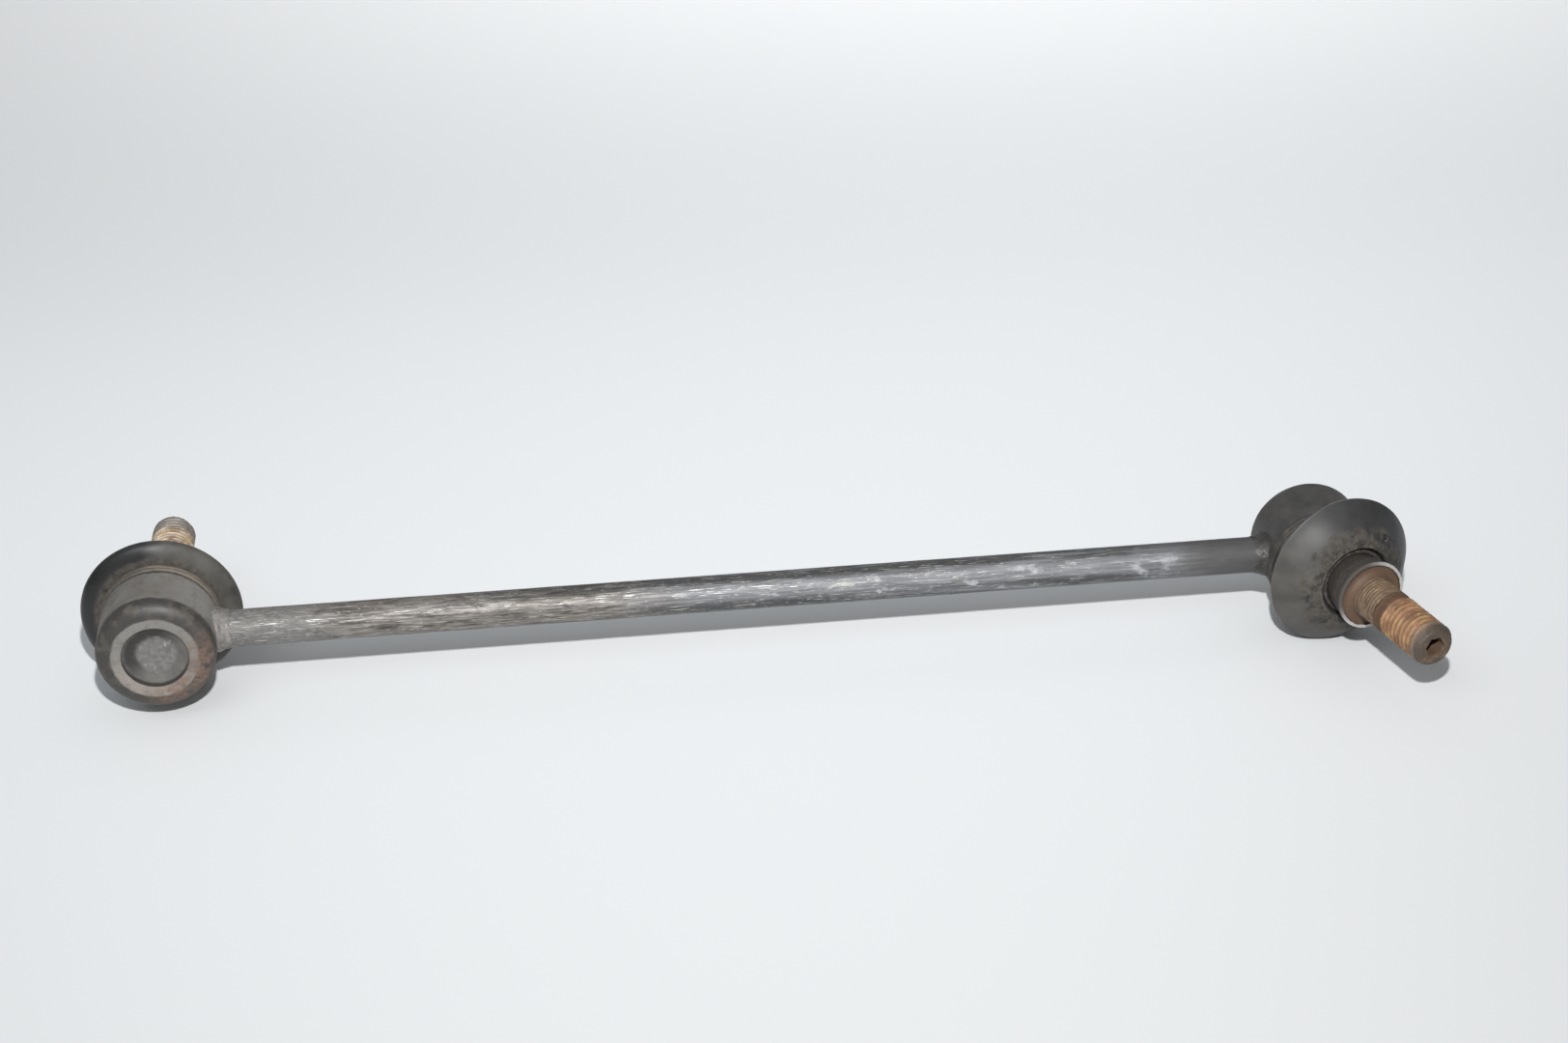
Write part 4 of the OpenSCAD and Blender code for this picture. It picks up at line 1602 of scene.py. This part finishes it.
    def build(self) -> None:
        """Builds the whole stud."""
        stud = Turned(f"{self.tag}_threaded_stud", self.place, self.segments).spin(self.forging())
        self.add_shank(stud)
        self.add_thread(stud)
        self.add_socket(stud)
        obj = stud.roughen(self.corrode).build()
        finish = self.pick(STUD_PLATED, STUD_RUSTY)
        dress(obj, finish, f"{self.tag}_stud", [f"{self.tag}_ball_stud"])


@dataclass
class Studio:
    """Pale floor, soft light and the camera."""

    azimuth: float = -7.8
    elevation: float = 26.95
    roll: float = -0.40
    distance: float = 686.4
    target: tuple[float, float] = (8.6, 20.35)
    focal_px: float = 2653.0
    image_width: float = 1624.0
    sensor: float = 36.0
    floor_size: float = 6.0
    floor_tones: tuple[float, float] = (0.39, 0.965)
    floor_tint: Vec = (1.0, 1.015, 1.025)
    floor_depths: tuple[float, float] = (-0.33, 0.27)
    floor_sides: tuple[float, float] = (0.995, 1.115)
    floor_reach: float = 0.28
    floor_roughness: float = 0.55
    floor_specular: float = 0.2
    sky_colour: RGB = (0.97, 0.985, 1.0)
    horizon: float = 0.13
    zenith: float = 0.32
    behind: float = 0.16
    key_place: Vec = (-0.06, -0.56, 0.47)
    key_power: float = 6.4
    key_size: tuple[float, float] = (0.02, 0.02)
    soft_place: Vec = (-0.50, -0.72, 0.90)
    soft_power: float = 2.5
    soft_size: tuple[float, float] = (0.8, 0.5)
    soft_colour: RGB = (0.86, 0.94, 1.0)
    back_place: Vec = (0.20, 0.90, 0.80)
    back_power: float = 1.7
    back_size: tuple[float, float] = (1.2, 0.7)
    back_spread: float = 86.0

    def axes(self, azimuth: float, elevation: float) -> tuple[Vector, Vector, Vector]:
        """Right, up and back directions of a viewpoint.

        Args:
            azimuth: degrees round the upright axis.
            elevation: degrees above the floor.

        Returns:
            The three directions.
        """
        a, e = math.radians(azimuth), math.radians(elevation)
        back = Vector((math.sin(a) * math.cos(e), -math.cos(a) * math.cos(e), math.sin(e)))
        right = Vector((0, 0, 1)).cross(back).normalized()
        return right, back.cross(right), back

    def aim(self) -> Vector:
        """The point that the camera looks at, in metres."""
        return Vector((self.target[0], 0.0, self.target[1])) * MM

    def camera(self) -> None:
        """Makes the camera at the photograph's viewpoint."""
        right, up, back = self.axes(self.azimuth, self.elevation)
        r = math.radians(self.roll)
        x, y = right * math.cos(r) + up * math.sin(r), up * math.cos(r) - right * math.sin(r)
        data = bpy.data.cameras.new("view")
        data.sensor_fit, data.sensor_width = "HORIZONTAL", self.sensor
        data.lens = self.focal_px * self.sensor / self.image_width
        data.clip_start, data.clip_end = 0.01, 50.0
        cam = bpy.data.objects.new("view", data)
        turn = Matrix((x, y, back)).transposed().to_4x4()
        cam.matrix_world = Matrix.Translation(self.aim() + back * self.distance * MM) @ turn
        bpy.context.scene.collection.objects.link(cam)
        bpy.context.scene.camera = cam

    def floor_paint(self) -> bpy.types.Material:
        """Makes the floor's material, paler towards the back and a little towards the right.

        Returns:
            The material.
        """
        made = bpy.data.materials.new("pale_floor")
        made.use_nodes = True
        shader = made.node_tree.nodes["Principled BSDF"]
        g = Graph(made.node_tree)
        split = g.split(g.coordinate("Object"))
        near, far = ((*(tone * tint for tint in self.floor_tint), 1) for tone in self.floor_tones)
        along = g.mix(g.soft(split.outputs[1], *self.floor_depths), near, far, True)
        side = g.soft(split.outputs[0], -self.floor_reach, self.floor_reach)
        across = g.mix(side, *self.floor_sides, False)
        g.feed(shader.inputs["Base Color"], g.vector("SCALE", along, across))
        shader.inputs["Roughness"].default_value = self.floor_roughness
        shader.inputs["Specular IOR Level"].default_value = self.floor_specular
        return made

    def floor(self) -> None:
        """Makes the pale floor."""
        s, z = self.floor_size, FLOOR_Z * MM
        mesh = bpy.data.meshes.new("floor")
        mesh.from_pydata([(-s, -s, z), (s, -s, z), (s, s, z), (-s, s, z)], [], [(0, 1, 2, 3)])
        plane = bpy.data.objects.new("floor", mesh)
        bpy.context.scene.collection.objects.link(plane)
        mesh.materials.append(self.floor_paint())

    def lamp(self, name: str, place: Vec, towards: Vec, power: float, size: tuple[float, float],
             spread: float = 180.0, colour: RGB = (1.0, 1.0, 1.0)) -> None:
        """Adds one soft lamp.

        Args:
            name: the lamp's name.
            place: where it stands, in metres.
            towards: the point that it faces.
            power: its power, in watts.
            size: its width and height, in metres.
            spread: how wide its light opens, in degrees.
            colour: the light's colour.
        """
        data = bpy.data.lights.new(name, "AREA")
        data.shape, data.energy, data.color = "ELLIPSE", power, colour
        data.size, data.size_y = size
        data.spread = math.radians(spread)
        made = bpy.data.objects.new(name, data)
        made.location = place
        made.rotation_euler = (Vector(place) - Vector(towards)).to_track_quat("Z", "Y").to_euler()
        bpy.context.scene.collection.objects.link(made)

    def lights(self) -> None:
        """Makes the key above the camera, the overhead lamp and the lamp over the far floor."""
        aim = tuple(self.aim())
        self.lamp("key", self.key_place, aim, self.key_power, self.key_size)
        self.lamp("overhead", self.soft_place, aim, self.soft_power, self.soft_size,
                  colour=self.soft_colour)
        x, y, _ = self.back_place
        self.lamp("far_floor", self.back_place, (x, y, 0.0), self.back_power, self.back_size,
                  self.back_spread)

    def sky(self) -> None:
        """Makes the even light all round, brighter above and behind."""
        world = bpy.data.worlds.new("studio")
        world.use_nodes = True
        g = Graph(world.node_tree)
        split = g.split(g.coordinate("Generated"))
        above = g.mix(g.soft(split.outputs[2], 0.0, 1.0), self.horizon, self.zenith, False)
        behind = g.math("MULTIPLY", g.soft(split.outputs[1], 0.0, 1.0), self.behind)
        ground = world.node_tree.nodes["Background"]
        ground.inputs["Color"].default_value = (*self.sky_colour, 1)
        g.feed(ground.inputs["Strength"], g.math("ADD", above, behind))
        bpy.context.scene.world = world

    def build(self) -> None:
        """Sets up the whole studio."""
        bpy.context.scene.view_settings.view_transform = "Standard"
        self.camera()
        self.floor()
        self.lights()
        self.sky()


def main() -> None:
    """Builds every sub-assembly in order."""
    logging.basicConfig(level=logging.INFO, format="%(message)s")
    Studio().build()
    rod = LinkRod()
    rod.rod()
    for place in (EndPlace(End.LEFT, 0.0), EndPlace(End.RIGHT, 13.0)):
        rod.weld(place.end)
        housing = HousingShell(place)
        housing.shell()
        housing.plate()
        housing.clamp()
        housing.seat()
        boot = DustBoot(place)
        boot.back_half()
        boot.front_half()
        boot.neck_ring()
        BallStud(place).build()


if __name__ == "__main__":
    main()
